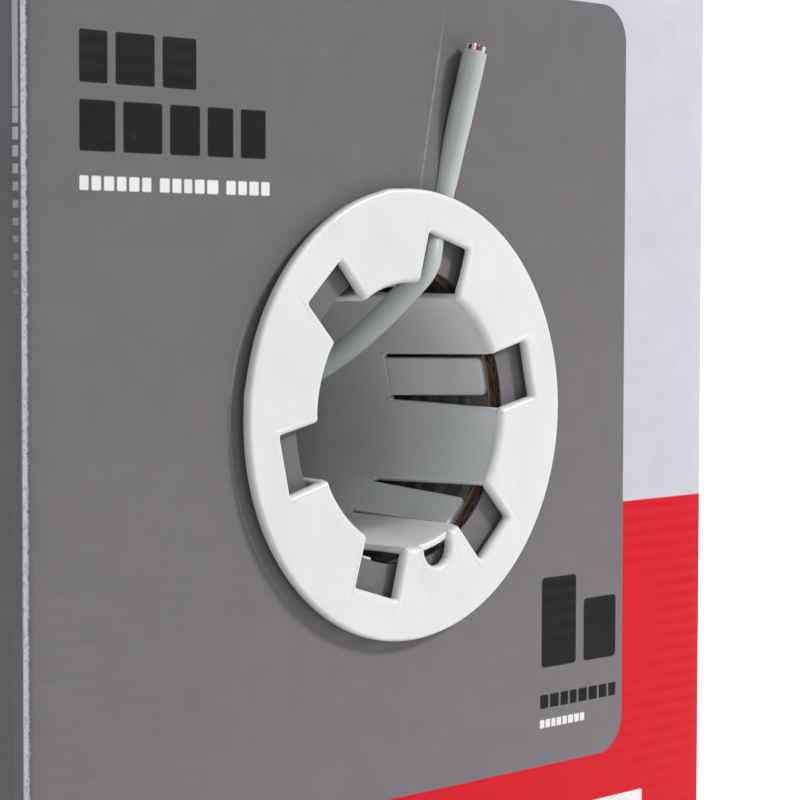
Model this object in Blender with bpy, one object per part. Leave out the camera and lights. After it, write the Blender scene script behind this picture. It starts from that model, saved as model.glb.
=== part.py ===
"""Pull box for network cable: a folded corrugated carton, the wound cable inside it,
and a snap-in payout tube that the cable's free end is parked under.

Metres, +Z up.  The payout face looks towards -Y and the carton stands on Z = 0.
The origin is at the middle of the underside of everything but the free cable end.
"""
import math

import bmesh
import bpy
from mathutils import Matrix, Vector

# ---------------------------------------------------------------- driving dimensions

BOX_WIDTH = 0.200            # outside, across the payout face (X)
BOX_DEPTH = 0.350            # outside, from the payout face to the back (Y)
BOX_HEIGHT = 0.350           # outside, over the closed flaps (Z)
BOARD = 0.0038               # thickness of the corrugated board
FIT = 0.0003                 # gap left between pieces that touch
SEAM = 0.001                 # gap between two flaps that meet
CORNER_RADIUS = 0.0016       # outer rounding of the folded corners
MINOR_FLAP = 0.098           # reach of a minor (inner) flap
GLUE_TAB = 0.035             # width of the tab that closes the sleeve
TAB_END_GAP = 0.001          # space between the tab's ends and the minor flaps

HOLE_X = -0.0028             # payout hole's centre, across the face
HOLE_ROOM = 0.0022           # from the barrel to the hole punched in the board

FLANGE_RADIUS = 0.0464       # outer radius of the tube's flange
FLANGE_FRONT = 0.0032        # flange front, ahead of the face
FLANGE_THICKNESS = 0.0021
STAND_OUT = 0.0046           # halved, it sets the box back so that flange and cable balance it
RIM_ROUND = 0.0005           # rounding of the flange's outer edge
RIM_BACK_ROUND = 0.0003      # small bevel behind it
MOUTH_ROUND = 0.0017         # rounding where the bore opens into the flange
BORE_RADIUS = 0.027          # inside of the barrel
BARREL_WALL = 0.0015
BARREL_PAST_WINDING = 0.003  # how far the barrel reaches past the winding's wall

FINGER_COUNT = 6
FIRST_FINGER = math.radians(13.2)   # angle of the first finger, from +X towards +Z
NOTCH_OUTER = 0.0372         # outer end of a notch in the flange, from the axis
NOTCH_OUTER_WIDTH = 0.0122
NOTCH_INNER_WIDTH = 0.0118   # where a notch opens into the bore
SLOT_MOUTH_WIDTH = 0.0121    # a barrel slot's width behind the board
SLOT_ROOT_WIDTH = 0.0105     # and at its root
SLOT_END = 0.0293            # root of a slot, behind the face
FINGER_SIDE_GAP = 0.00100    # each side of a finger, at its root
FINGER_ROOT_GAP = 0.0005
FINGER_TIP_NARROWING = 0.0001
FINGER_FLARE = math.radians(6.5)   # how far a finger leans outward
PARKING_FINGER = 1           # the finger whose notch the cable is parked in
HALF_ROUND_ANGLE = math.radians(-75)
HALF_ROUND_RADIUS = 0.0039   # small half-round cut in the flange's inner edge
RELIEF_DEPTH = 0.0012        # how much the rim's back is thinned behind the parking notch

CABLE_DIAMETER = 0.0052
CABLE_CLEARANCE = 0.0003
CONDUCTOR_DIAMETER = 0.00095
CONDUCTOR_LENGTH = 0.0016    # how far the cores stand out of the cut jacket
PAIR_RADIUS = 0.00125        # centre of each pair, from the cable's axis
CORE_TURN = math.radians(20)        # each pair's turn about its own middle

WINDING_HEADROOM = 0.0060    # between the winding and the closed top flaps
WINDING_SIDE_ROOM = 0.0062   # between the winding and each side panel
WINDING_WALL = 0.082         # thickness of the wound ring, from its core outward
WINDING_EDGE = 0.014         # rounding of the winding's edges
WINDING_HOLE_ROOM = 0.006    # from the barrel to the payout hole through the winding
FLOOR_GAP = 0.0004           # between the winding and the floor flaps

# The cable's route, from the payout hole's centre in the plane of the face.
TAIL_ROUTE = [
    (0.0002, 0.0290, 0.0068),
    (0.0010, 0.0200, 0.0116),
    (0.0020, 0.0122, 0.0168),
    (0.0042, 0.0047, 0.0238),
    (0.0066, -0.0001, 0.0300),
    (0.0091, 0.0004, 0.0365),
    (0.0118, 0.0006, 0.0440),
    (0.0134, 0.0002, 0.0500),
    (0.0144, -0.0008, 0.0560),
    (0.0154, -0.0018, 0.0620),
    (0.0167, -0.0026, 0.0685),
    (0.0183, -0.0030, 0.0748),
]
# The run behind it, from the same centre; it starts on the winding's inner wall.
RUN_ROUTE = [
    (0.0420, 0.2572, 0.0063),
    (0.0400, 0.2526, -0.0309),
    (0.0340, 0.2280, -0.0652),
    (0.0240, 0.1885, -0.0828),
    (0.0110, 0.1480, -0.0640),
    (0.0010, 0.1240, -0.0320),
    (-0.0040, 0.1040, -0.0090),
    (-0.0055, 0.0860, 0.0000),
    (-0.0045, 0.0660, 0.0012),
    (-0.0025, 0.0480, 0.0020),
    (-0.0006, 0.0380, 0.0037),
    (0.0002, 0.0293, 0.0067),
]

# ---------------------------------------------------------------- worked-out places

FACE_Y = -(BOX_DEPTH - STAND_OUT) / 2
BACK_Y = FACE_Y + BOX_DEPTH
PANEL_LOW = BOARD + FIT                   # the walls stand on the major flaps
PANEL_HIGH = BOX_HEIGHT - BOARD - FIT
INNER_FRONT = FACE_Y + BOARD
INNER_BACK = BACK_Y - BOARD
INNER_SIDE = BOX_WIDTH / 2 - BOARD
HOLE = Vector((HOLE_X, FACE_Y, BOX_HEIGHT / 2))
WINDING_OUTER = (min(BOX_HEIGHT, BOX_DEPTH) - 2 * BOARD - FLOOR_GAP - WINDING_HEADROOM) / 2
WINDING_INNER = WINDING_OUTER - WINDING_WALL
WINDING_WIDTH = 2 * (INNER_SIDE - WINDING_SIDE_ROOM)
WINDING_Y = FACE_Y + BOX_DEPTH / 2
WINDING_Z = BOARD + FLOOR_GAP + WINDING_OUTER
FLANGE_BACK = FLANGE_FRONT - FLANGE_THICKNESS
BARREL_OUTER = BORE_RADIUS + BARREL_WALL
HOLE_RADIUS = BARREL_OUTER + HOLE_ROOM
WINDING_HOLE = BARREL_OUTER + WINDING_HOLE_ROOM
BARREL_END = BOX_DEPTH / 2 - WINDING_INNER + BARREL_PAST_WINDING
FINGER_TIP = BOARD + FIT                  # the tips stand just behind the board
CUT_PAST = 0.002                          # how far a cutter runs past what it cuts
FINGER_ROOT = SLOT_END - FINGER_ROOT_GAP


def finger_angle(index):
    """Angle of a finger and its notch, from +X towards +Z."""
    return FIRST_FINGER + index * 2 * math.pi / FINGER_COUNT


# ---------------------------------------------------------------- scene and materials

for old in list(bpy.data.objects):
    bpy.data.objects.remove(old, do_unlink=True)


def material(name, colour, roughness, metallic=0.0):
    """A plain Principled finish."""
    mat = bpy.data.materials.new(name)
    mat.use_nodes = True
    shader = mat.node_tree.nodes["Principled BSDF"]
    shader.inputs["Base Color"].default_value = (*colour, 1.0)
    shader.inputs["Roughness"].default_value = roughness
    shader.inputs["Metallic"].default_value = metallic
    return mat


PRINTED_BOARD = material("printed_board", (0.19, 0.19, 0.20), 0.45)
KRAFT_BOARD = material("kraft_board", (0.42, 0.29, 0.18), 0.80)
WHITE_PLASTIC = material("white_plastic", (0.70, 0.72, 0.71), 0.35)
JACKET = material("cable_jacket", (0.42, 0.45, 0.44), 0.42)
WHITE_CORE = material("core_white", (0.80, 0.80, 0.78), 0.40)


# ---------------------------------------------------------------- mesh helpers

def finish_object(name, mesh, mat, smooth_angle=None):
    """Link a mesh as a named object with its finish."""
    mesh.materials.append(mat)
    if smooth_angle is not None:
        mesh.shade_smooth()
        mesh.set_sharp_from_angle(angle=math.radians(smooth_angle))
    obj = bpy.data.objects.new(name, mesh)
    bpy.context.collection.objects.link(obj)
    return obj


def box_mesh(name, size):
    """A box of the given size, centred on its own origin."""
    bm = bmesh.new()
    bmesh.ops.create_cube(bm, size=1.0, matrix=Matrix.Diagonal((*size, 1.0)))
    mesh = bpy.data.meshes.new(name)
    bm.to_mesh(mesh)
    bm.free()
    return mesh


def block(name, low, high, mat, origin=None):
    """A box between two corners, with its origin at its middle or where asked."""
    low = Vector(low)
    high = Vector(high)
    middle = (low + high) / 2
    mesh = box_mesh(name, high - low)
    if origin is None:
        origin = middle
    mesh.transform(Matrix.Translation(middle - Vector(origin)))
    obj = finish_object(name, mesh, mat)
    obj.location = origin
    return obj


def cutter(name, mesh):
    """A guide body that only cuts other pieces."""
    obj = bpy.data.objects.new(name, mesh)
    bpy.context.collection.objects.link(obj)
    obj.hide_render = True
    obj.display_type = 'WIRE'
    return obj


def cut(obj, tool):
    """Take a cutter's volume away from a piece."""
    mod = obj.modifiers.new(tool.name, 'BOOLEAN')
    mod.operation = 'DIFFERENCE'
    mod.solver = 'EXACT'
    mod.object = tool


def lathe_mesh(name, profile, segments):
    """Turn a closed (radius, along) outline about the local Z axis.

    The outline runs so that its outside lies on its right-hand side.
    """
    bm = bmesh.new()
    rings = []
    for step in range(segments):
        angle = 2 * math.pi * step / segments
        ring = [bm.verts.new((r * math.cos(angle), r * math.sin(angle), z)) for r, z in profile]
        rings.append(ring)
    for step in range(segments):
        here = rings[step]
        after = rings[(step + 1) % segments]
        for k in range(len(profile)):
            n = (k + 1) % len(profile)
            bm.faces.new((here[k], after[k], after[n], here[n]))
    bmesh.ops.recalc_face_normals(bm, faces=bm.faces)
    mesh = bpy.data.meshes.new(name)
    bm.to_mesh(mesh)
    bm.free()
    return mesh


def arc(centre, radius, start, end, steps):
    """Points on an arc in the outline's plane, angles in degrees."""
    points = []
    for k in range(steps + 1):
        angle = math.radians(start + (end - start) * k / steps)
        points.append((centre[0] + radius * math.cos(angle), centre[1] + radius * math.sin(angle)))
    return points


def prism(bm, outline, near, far, far_outline=None):
    """Add a prism to bm: an outline of (x, z) points carried from Y = near to Y = far.

    A second outline with as many points gives the far end another shape.
    """
    front = [bm.verts.new((x, near, z)) for x, z in outline]
    back = [bm.verts.new((x, far, z)) for x, z in far_outline or outline]
    count = len(outline)
    bm.faces.new(front)
    bm.faces.new(list(reversed(back)))
    for k in range(count):
        n = (k + 1) % count
        bm.faces.new((front[n], front[k], back[k], back[n]))


def smooth_route(points, spacing):
    """Points about `spacing` apart on a smooth (Catmull-Rom) curve through the given ones."""
    points = [Vector(p) for p in points]
    before = points[0] * 2 - points[1]
    after = points[-1] * 2 - points[-2]
    padded = [before] + points + [after]
    fine = []
    for k in range(1, len(padded) - 2):
        p0, p1, p2, p3 = padded[k - 1:k + 3]
        for step in range(40):
            t = step / 40
            fine.append(0.5 * (2 * p1 + (p2 - p0) * t + (2 * p0 - 5 * p1 + 4 * p2 - p3) * t ** 2
                               + (3 * p1 - p0 - 3 * p2 + p3) * t ** 3))
    fine.append(points[-1])
    travelled = [0.0]
    for a, b in zip(fine, fine[1:]):
        travelled.append(travelled[-1] + (b - a).length)
    count = max(2, round(travelled[-1] / spacing))
    route = []
    k = 0
    for step in range(count + 1):
        target = travelled[-1] * step / count
        while k < len(fine) - 2 and travelled[k + 1] < target:
            k += 1
        share = (target - travelled[k]) / (travelled[k + 1] - travelled[k])
        route.append(fine[k].lerp(fine[k + 1], share))
    return route


def cable_object(name, route, diameter, mat):
    """A round cable along a route, closed at both ends."""
    curve = bpy.data.curves.new(name, 'CURVE')
    curve.dimensions = '3D'
    curve.bevel_depth = diameter / 2
    curve.bevel_resolution = 3
    curve.use_fill_caps = True
    curve.materials.append(mat)
    spline = curve.splines.new('POLY')
    spline.points.add(len(route) - 1)
    for point, place in zip(spline.points, route):
        point.co = (*place, 1.0)
    obj = bpy.data.objects.new(name, curve)
    bpy.context.collection.objects.link(obj)
    return obj


def swept_mesh(name, route, radius, sides):
    """A closed tube around a route, for cutting the room that the cable takes."""
    bm = bmesh.new()
    rings = []
    across = Vector((1, 0, 0))
    for k, place in enumerate(route):
        ahead = route[min(k + 1, len(route) - 1)] - route[max(k - 1, 0)]
        ahead.normalize()
        across = (across - ahead * across.dot(ahead)).normalized()
        up = ahead.cross(across)
        ring = []
        for s in range(sides):
            angle = 2 * math.pi * s / sides
            ring.append(bm.verts.new(place + (across * math.cos(angle) + up * math.sin(angle)) * radius))
        rings.append(ring)
    for here, after in zip(rings, rings[1:]):
        for s in range(sides):
            n = (s + 1) % sides
            bm.faces.new((here[s], here[n], after[n], after[s]))
    bm.faces.new(rings[0])
    bm.faces.new(rings[-1])
    bmesh.ops.recalc_face_normals(bm, faces=bm.faces)
    mesh = bpy.data.meshes.new(name)
    bm.to_mesh(mesh)
    bm.free()
    return mesh


# ---------------------------------------------------------------- the cable's route

CABLE_SPACING = CABLE_DIAMETER * 0.55
TAIL = [HOLE + p for p in smooth_route(TAIL_ROUTE, CABLE_SPACING)]
RUN = [HOLE + p for p in smooth_route(RUN_ROUTE, CABLE_DIAMETER * 1.5)]


def parked_stretch():
    """The stretch of the tail that presses into the board and passes under the rim."""
    inside = HOLE_RADIUS - CABLE_DIAMETER
    kept = []
    for place in TAIL:
        offset = place - HOLE
        if math.hypot(offset.x, offset.z) > inside:
            kept.append(place)
    return kept


# ---------------------------------------------------------------- carton

def folded_panel(name, low, high):
    """A wall of the carton whose two outer upright edges are rounded by the fold."""
    obj = block(name, low, high, PRINTED_BOARD)
    outward = 1 if (Vector(low) + Vector(high)).y > 0 else -1
    bm = bmesh.new()
    bm.from_mesh(obj.data)
    edges = []
    for edge in bm.edges:
        a, b = edge.verts
        upright = abs(a.co.z - b.co.z) > BOARD
        outside = a.co.y * outward > 0 and b.co.y * outward > 0
        if upright and outside:
            edges.append(edge)
    bmesh.ops.bevel(bm, geom=edges, offset=CORNER_RADIUS, segments=3, affect='EDGES', profile=0.5)
    bm.to_mesh(obj.data)
    bm.free()
    return obj


def build_walls():
    """Four walls and the glued tab that closes the sleeve."""
    half = BOX_WIDTH / 2
    front = folded_panel("carton_front_panel", (-half, FACE_Y, PANEL_LOW), (half, INNER_FRONT, PANEL_HIGH))
    folded_panel("carton_back_panel", (-half, INNER_BACK, PANEL_LOW), (half, BACK_Y, PANEL_HIGH))
    block("carton_left_panel", (-half, INNER_FRONT + FIT, PANEL_LOW),
          (-INNER_SIDE, INNER_BACK - FIT, PANEL_HIGH), PRINTED_BOARD)
    block("carton_right_panel", (INNER_SIDE, INNER_FRONT + FIT, PANEL_LOW),
          (half, INNER_BACK - FIT, PANEL_HIGH), PRINTED_BOARD)
    tab_outer = INNER_SIDE - FIT
    tab_low = PANEL_LOW + BOARD + TAB_END_GAP
    tab_high = PANEL_HIGH - BOARD - TAB_END_GAP
    block("carton_glue_tab", (tab_outer - BOARD, INNER_BACK - FIT - GLUE_TAB, tab_low),
          (tab_outer, INNER_BACK - FIT, tab_high), KRAFT_BOARD)
    return front


def build_flaps():
    """Minor flaps inside, major flaps outside; the two upper major flaps open."""
    half = BOX_WIDTH / 2
    side = INNER_SIDE - FIT
    for level, inner_z, outer_z in (
            ("bottom", (PANEL_LOW, PANEL_LOW + BOARD), (0.0, BOARD)),
            ("top", (PANEL_HIGH - BOARD, PANEL_HIGH), (BOX_HEIGHT - BOARD, BOX_HEIGHT))):
        block(f"{level}_minor_flap_front", (-side, INNER_FRONT + FIT, inner_z[0]),
              (side, INNER_FRONT + FIT + MINOR_FLAP, inner_z[1]), KRAFT_BOARD)
        block(f"{level}_minor_flap_back", (-side, INNER_BACK - FIT - MINOR_FLAP, inner_z[0]),
              (side, INNER_BACK - FIT, inner_z[1]), KRAFT_BOARD)
        for hand, inner_x, outer_x in (("left", -SEAM / 2, -half), ("right", SEAM / 2, half)):
            low = (min(inner_x, outer_x), FACE_Y, outer_z[0])
            high = (max(inner_x, outer_x), BACK_Y, outer_z[1])
            fold = Vector((outer_x, (FACE_Y + BACK_Y) / 2, outer_z[1]))
            block(f"{level}_major_flap_{hand}", low, high, PRINTED_BOARD, origin=fold)


# ---------------------------------------------------------------- payout tube

def tube_profile():
    """Closed outline of the flange and barrel: radius, and distance in front of the face."""
    front = FLANGE_FRONT
    rim = FLANGE_RADIUS - RIM_ROUND
    mouth = BORE_RADIUS + MOUTH_ROUND
    points = [(BORE_RADIUS, -BARREL_END)]
    points += arc((mouth, front - MOUTH_ROUND), MOUTH_ROUND, 180, 90, 4)
    points += arc((rim, front - RIM_ROUND), RIM_ROUND, 90, 0, 3)
    points += [(FLANGE_RADIUS, FLANGE_BACK + RIM_BACK_ROUND),
               (FLANGE_RADIUS - RIM_BACK_ROUND, FLANGE_BACK)]
    points += [(BARREL_OUTER, FLANGE_BACK), (BARREL_OUTER, -BARREL_END)]
    return points


def around_fingers(name, add_shape):
    """One mesh of six copies of a cutting shape, turned to the fingers' angles."""
    bm = bmesh.new()
    for index in range(FINGER_COUNT):
        one = bmesh.new()
        add_shape(one)
        one.transform(Matrix.Rotation(-finger_angle(index), 4, 'Y'))
        part = bpy.data.meshes.new(name)
        one.to_mesh(part)
        one.free()
        bm.from_mesh(part)
    bmesh.ops.recalc_face_normals(bm, faces=bm.faces)
    mesh = bpy.data.meshes.new(name)
    bm.to_mesh(mesh)
    bm.free()
    return mesh


def strip(inner, outer, inner_width, outer_width):
    """A four-sided outline along +X, from one radius and width to another."""
    return [(inner, -inner_width / 2), (outer, -outer_width / 2),
            (outer, outer_width / 2), (inner, inner_width / 2)]


def add_notch(bm):
    """A tapered notch through the flange and the barrel's front end."""
    inner = BORE_RADIUS - BARREL_WALL
    outline = strip(inner, NOTCH_OUTER, NOTCH_INNER_WIDTH, NOTCH_OUTER_WIDTH)
    prism(bm, outline, -FLANGE_FRONT - CUT_PAST, BOARD)


def add_slot(bm):
    """A slot in the barrel, narrowing from behind the flange to its root."""
    inner = BORE_RADIUS - BARREL_WALL
    outer = BARREL_OUTER + BARREL_WALL
    mouth = strip(inner, outer, SLOT_MOUTH_WIDTH, SLOT_MOUTH_WIDTH)
    root = strip(inner, outer, SLOT_ROOT_WIDTH, SLOT_ROOT_WIDTH)
    prism(bm, mouth, -FLANGE_BACK + FIT, SLOT_END, root)


def half_round_cutter():
    """A short drill for the half-round cut in the flange's inner edge."""
    centre = BORE_RADIUS + MOUTH_ROUND
    outline = arc((0.0, 0.0), HALF_ROUND_RADIUS, 0, 360, 20)[:-1]
    middle = (centre * math.cos(HALF_ROUND_ANGLE), centre * math.sin(HALF_ROUND_ANGLE))
    bm = bmesh.new()
    prism(bm, [(middle[0] + x, middle[1] + z) for x, z in outline], -FLANGE_FRONT - CUT_PAST, BOARD)
    bmesh.ops.recalc_face_normals(bm, faces=bm.faces)
    mesh = bpy.data.meshes.new("half_round_cutter")
    bm.to_mesh(mesh)
    bm.free()
    return mesh


def relief_cutter():
    """A shallow pocket across the rim's back, behind the parking notch."""
    half = math.asin(NOTCH_OUTER_WIDTH / 2 / NOTCH_OUTER)
    middle = finger_angle(PARKING_FINGER)
    outer = FLANGE_RADIUS + CUT_PAST
    inner = NOTCH_OUTER - CUT_PAST / 2
    outline = []
    for k in range(5):
        angle = middle - half + 2 * half * k / 4
        outline.append((outer * math.cos(angle), outer * math.sin(angle)))
    for k in range(5):
        angle = middle + half - 2 * half * k / 4
        outline.append((inner * math.cos(angle), inner * math.sin(angle)))
    bm = bmesh.new()
    prism(bm, outline, -FLANGE_BACK - RELIEF_DEPTH, 0.0)
    bmesh.ops.recalc_face_normals(bm, faces=bm.faces)
    mesh = bpy.data.meshes.new("relief_cutter")
    bm.to_mesh(mesh)
    bm.free()
    return mesh


def build_tube():
    """Flange and barrel in one moulding, turned about the payout hole's axis."""
    mesh = lathe_mesh("payout_tube", tube_profile(), 72)
    mesh.transform(Matrix.Rotation(math.radians(90), 4, 'X'))
    tube = finish_object("payout_tube", mesh, WHITE_PLASTIC, smooth_angle=35)
    tube.location = HOLE
    for name, shape in (("cut_notches", around_fingers("notches", add_notch)),
                        ("cut_slots", around_fingers("slots", add_slot)),
                        ("cut_half_round", half_round_cutter()), ("cut_relief", relief_cutter())):
        tool = cutter(name, shape)
        tool.location = HOLE
        cut(tube, tool)
    return tube


def finger_mesh():
    """A strip of the barrel's wall, leaning outward from its root.

    Local +X points away from the tube's axis, +Y into the box, origin at the root.
    """
    middle = BORE_RADIUS + BARREL_WALL / 2
    root_half = SLOT_ROOT_WIDTH / 2 - FINGER_SIDE_GAP
    bm = bmesh.new()
    grid = []
    stations = 4
    strips = 6
    for k in range(stations + 1):
        share = k / stations
        back = (FINGER_TIP - FINGER_ROOT) * share / math.cos(FINGER_FLARE)
        half = root_half - FINGER_TIP_NARROWING * share
        loop = []
        for radius, order in ((BORE_RADIUS, range(strips + 1)), (BARREL_OUTER, range(strips, -1, -1))):
            for s in order:
                across = -half + 2 * half * s / strips
                rise = math.sqrt(radius ** 2 - across ** 2) - middle
                loop.append(bm.verts.new((rise, back, across)))
        grid.append(loop)
    for here, after in zip(grid, grid[1:]):
        for s in range(len(here)):
            n = (s + 1) % len(here)
            bm.faces.new((here[s], here[n], after[n], after[s]))
    bm.faces.new(grid[0])
    bm.faces.new(grid[-1])
    bmesh.ops.recalc_face_normals(bm, faces=bm.faces)
    bm.transform(Matrix.Rotation(FINGER_FLARE, 4, 'Z'))
    mesh = bpy.data.meshes.new("snap_finger")
    bm.to_mesh(mesh)
    bm.free()
    return mesh


def build_fingers(tube):
    """Six snap fingers, each hinging at its root in the barrel."""
    mesh = finger_mesh()
    mesh.materials.append(WHITE_PLASTIC)
    mesh.shade_smooth()
    mesh.set_sharp_from_angle(angle=math.radians(35))
    middle = BORE_RADIUS + BARREL_WALL / 2
    for index in range(FINGER_COUNT):
        angle = finger_angle(index)
        finger = bpy.data.objects.new(f"snap_finger_{index + 1}", mesh)
        bpy.context.collection.objects.link(finger)
        finger.parent = tube
        finger.location = (middle * math.cos(angle), FINGER_ROOT, middle * math.sin(angle))
        finger.rotation_euler = (0.0, -angle, 0.0)


# ---------------------------------------------------------------- cable

def build_winding():
    """The wound cable: a thick ring on its side, with the payout hole through its wall."""
    half = WINDING_WIDTH / 2
    edge = WINDING_EDGE
    inner_edge = edge / 2
    profile = arc((WINDING_OUTER - edge, half - edge), edge, 90, 0, 3)
    profile += arc((WINDING_OUTER - edge, edge - half), edge, 0, -90, 3)
    profile += arc((WINDING_INNER + inner_edge, inner_edge - half), inner_edge, 270, 180, 2)
    profile += arc((WINDING_INNER + inner_edge, half - inner_edge), inner_edge, 180, 90, 2)
    mesh = lathe_mesh("cable_winding", profile, 64)
    mesh.transform(Matrix.Rotation(math.radians(90), 4, 'Y'))
    winding = finish_object("cable_winding", mesh, JACKET, smooth_angle=40)
    winding.location = (0.0, WINDING_Y, WINDING_Z)
    drill = bmesh.new()
    outline = arc((0.0, 0.0), WINDING_HOLE, 0, 360, 40)[:-1]
    prism(drill, outline, 0.0, WINDING_OUTER)
    bmesh.ops.recalc_face_normals(drill, faces=drill.faces)
    shape = bpy.data.meshes.new("winding_drill")
    drill.to_mesh(shape)
    drill.free()
    tool = cutter("cut_winding_hole", shape)
    tool.location = HOLE
    cut(winding, tool)


def build_cores(tip, ahead):
    """Eight insulated conductors in four pairs, standing out of the cut jacket."""
    colours = {"blue": (0.02, 0.05, 0.25), "orange": (0.55, 0.10, 0.03),
               "green": (0.03, 0.22, 0.08), "brown": (0.16, 0.06, 0.03)}
    across = Vector((0, 1, 0))
    across = (across - ahead * across.dot(ahead)).normalized()
    side = ahead.cross(across)
    start = tip + ahead * FIT
    for k, (name, colour) in enumerate(colours.items()):
        angle = math.radians(45) + k * math.pi / 2
        middle = start + (across * math.cos(angle) + side * math.sin(angle)) * PAIR_RADIUS
        turn = angle + math.pi / 2 + CORE_TURN
        reach = (CONDUCTOR_DIAMETER + FIT / 3) / 2
        offset = (across * math.cos(turn) + side * math.sin(turn)) * reach
        for label, sign, mat in ((f"core_{name}", 1, material(f"core_{name}", colour, 0.40)),
                                 (f"core_white_{name}", -1, WHITE_CORE)):
            mesh = bpy.data.meshes.new(label)
            bm = bmesh.new()
            radius = CONDUCTOR_DIAMETER / 2
            bmesh.ops.create_cone(bm, cap_ends=True, segments=12, radius1=radius, radius2=radius,
                                  depth=CONDUCTOR_LENGTH)
            bm.to_mesh(mesh)
            bm.free()
            core = finish_object(label, mesh, mat, smooth_angle=40)
            core.location = middle + offset * sign + ahead * (CONDUCTOR_LENGTH / 2)
            core.rotation_mode = 'QUATERNION'
            core.rotation_quaternion = ahead.to_track_quat('Z', 'Y')


def build_cable():
    """The run from the winding into the tube, the parked tail, and its cut end."""
    cable_object("cable_payout_run", RUN, CABLE_DIAMETER, JACKET)
    cable_object("cable_tail", TAIL, CABLE_DIAMETER, JACKET)
    ahead = (TAIL[-1] - TAIL[-2]).normalized()
    build_cores(TAIL[-1], ahead)


# ---------------------------------------------------------------- openings in the front panel

def cut_front_panel(panel):
    """The punched payout hole, and the groove that the parked cable presses into the board."""
    bm = bmesh.new()
    prism(bm, arc((0.0, 0.0), HOLE_RADIUS, 0, 360, 64)[:-1], -BOARD, 2 * BOARD)
    bmesh.ops.recalc_face_normals(bm, faces=bm.faces)
    shape = bpy.data.meshes.new("payout_hole")
    bm.to_mesh(shape)
    bm.free()
    hole = cutter("cut_payout_hole", shape)
    hole.location = HOLE
    cut(panel, hole)
    groove = swept_mesh("cable_groove", parked_stretch(), CABLE_DIAMETER / 2 + CABLE_CLEARANCE, 14)
    cut(panel, cutter("cut_cable_groove", groove))


# ---------------------------------------------------------------- assembly

front_panel = build_walls()
cut_front_panel(front_panel)
build_flaps()
payout_tube = build_tube()
build_fingers(payout_tube)
build_winding()
build_cable()
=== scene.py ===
# %% [markdown]
# # A pull box of network cable
#
# The object is a folded carton of double-wall corrugated board.  A white plastic payout tube
# snaps into a round hole in its narrow face, and the free end of the wound cable comes out
# through the tube and is parked under its flange.  The carton, the tube and its six snap
# fingers already exist as a model, which is loaded first and stays as it is.  Every
# visible surface is then built around it with numpy, one cell at a time.

# %% Load the model
import math

import bpy
import numpy as np
from mathutils import Matrix, Vector


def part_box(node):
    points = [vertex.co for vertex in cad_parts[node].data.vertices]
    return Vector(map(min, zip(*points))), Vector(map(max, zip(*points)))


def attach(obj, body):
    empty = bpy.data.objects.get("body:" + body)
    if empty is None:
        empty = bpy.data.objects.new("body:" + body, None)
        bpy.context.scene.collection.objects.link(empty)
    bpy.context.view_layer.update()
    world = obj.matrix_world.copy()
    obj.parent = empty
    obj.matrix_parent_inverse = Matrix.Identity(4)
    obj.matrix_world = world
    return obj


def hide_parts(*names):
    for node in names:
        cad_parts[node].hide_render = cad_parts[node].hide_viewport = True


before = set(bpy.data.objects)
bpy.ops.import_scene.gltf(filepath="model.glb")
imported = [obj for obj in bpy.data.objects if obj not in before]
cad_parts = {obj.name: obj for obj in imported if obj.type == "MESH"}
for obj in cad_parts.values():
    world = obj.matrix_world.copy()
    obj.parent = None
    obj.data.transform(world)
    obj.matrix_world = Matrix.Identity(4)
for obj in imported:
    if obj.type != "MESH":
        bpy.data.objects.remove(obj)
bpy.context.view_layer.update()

# %% [markdown]
# ## Places taken from the model
#
# The front panel gives the face, and the payout tube gives the axis of the hole, so every
# later shape is worked out from these few numbers and fits whatever the model says.

# %% The face, the walls and the payout axis
FACE_LOW, FACE_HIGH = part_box("carton_front_panel")
TUBE_LOW, TUBE_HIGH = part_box("payout_tube")
FACE_Y = FACE_LOW.y
BOARD = FACE_HIGH.y - FACE_LOW.y             # thickness of the board
HALF_WIDTH = FACE_HIGH.x
AXIS_X = (TUBE_LOW.x + TUBE_HIGH.x) / 2
AXIS_Z = (TUBE_LOW.z + TUBE_HIGH.z) / 2
HOLE = np.array([AXIS_X, FACE_Y, AXIS_Z])    # middle of the payout hole, in the face
FLANGE_RADIUS = (TUBE_HIGH.x - TUBE_LOW.x) / 2
FLANGE_FRONT = FACE_Y - TUBE_LOW.y           # how far the flange stands out
BARREL_END = TUBE_HIGH.y - FACE_Y            # how deep the tube reaches
print("payout axis at", HOLE.round(4), "flange radius", round(FLANGE_RADIUS, 4))

# %% [markdown]
# ## The camera
#
# The box is seen a little from its left and slightly from above, from about half a metre.  A
# long lens at that distance keeps the upright edges nearly parallel.  The turn is given by
# three angles, as one would set a tripod head.

# %% Camera
VIEW_YAW = math.radians(46.773)


def add_object(name, data):
    """An object for a mesh, lamp or camera, linked into the scene."""
    made = bpy.data.objects.new(name, data)
    bpy.context.collection.objects.link(made)
    return made


def add_camera(place, yaw, pitch, roll, lens, shift):
    """Camera at a place: yaw from +Y towards +X, pitch downwards, roll about the view."""
    data = bpy.data.cameras.new("view")
    data.sensor_width = 36.0
    data.lens = lens
    data.shift_x, data.shift_y = shift
    data.clip_start = 0.01
    data.dof.use_dof = False
    camera = add_object("view", data)
    level = math.cos(pitch)
    ahead = Vector((math.sin(yaw) * level, math.cos(yaw) * level, -math.sin(pitch)))
    turn = ahead.to_track_quat('-Z', 'Y') @ Matrix.Rotation(roll, 3, 'Z').to_quaternion()
    camera.rotation_mode = 'QUATERNION'
    camera.rotation_quaternion = turn
    camera.location = place
    return camera


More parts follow.
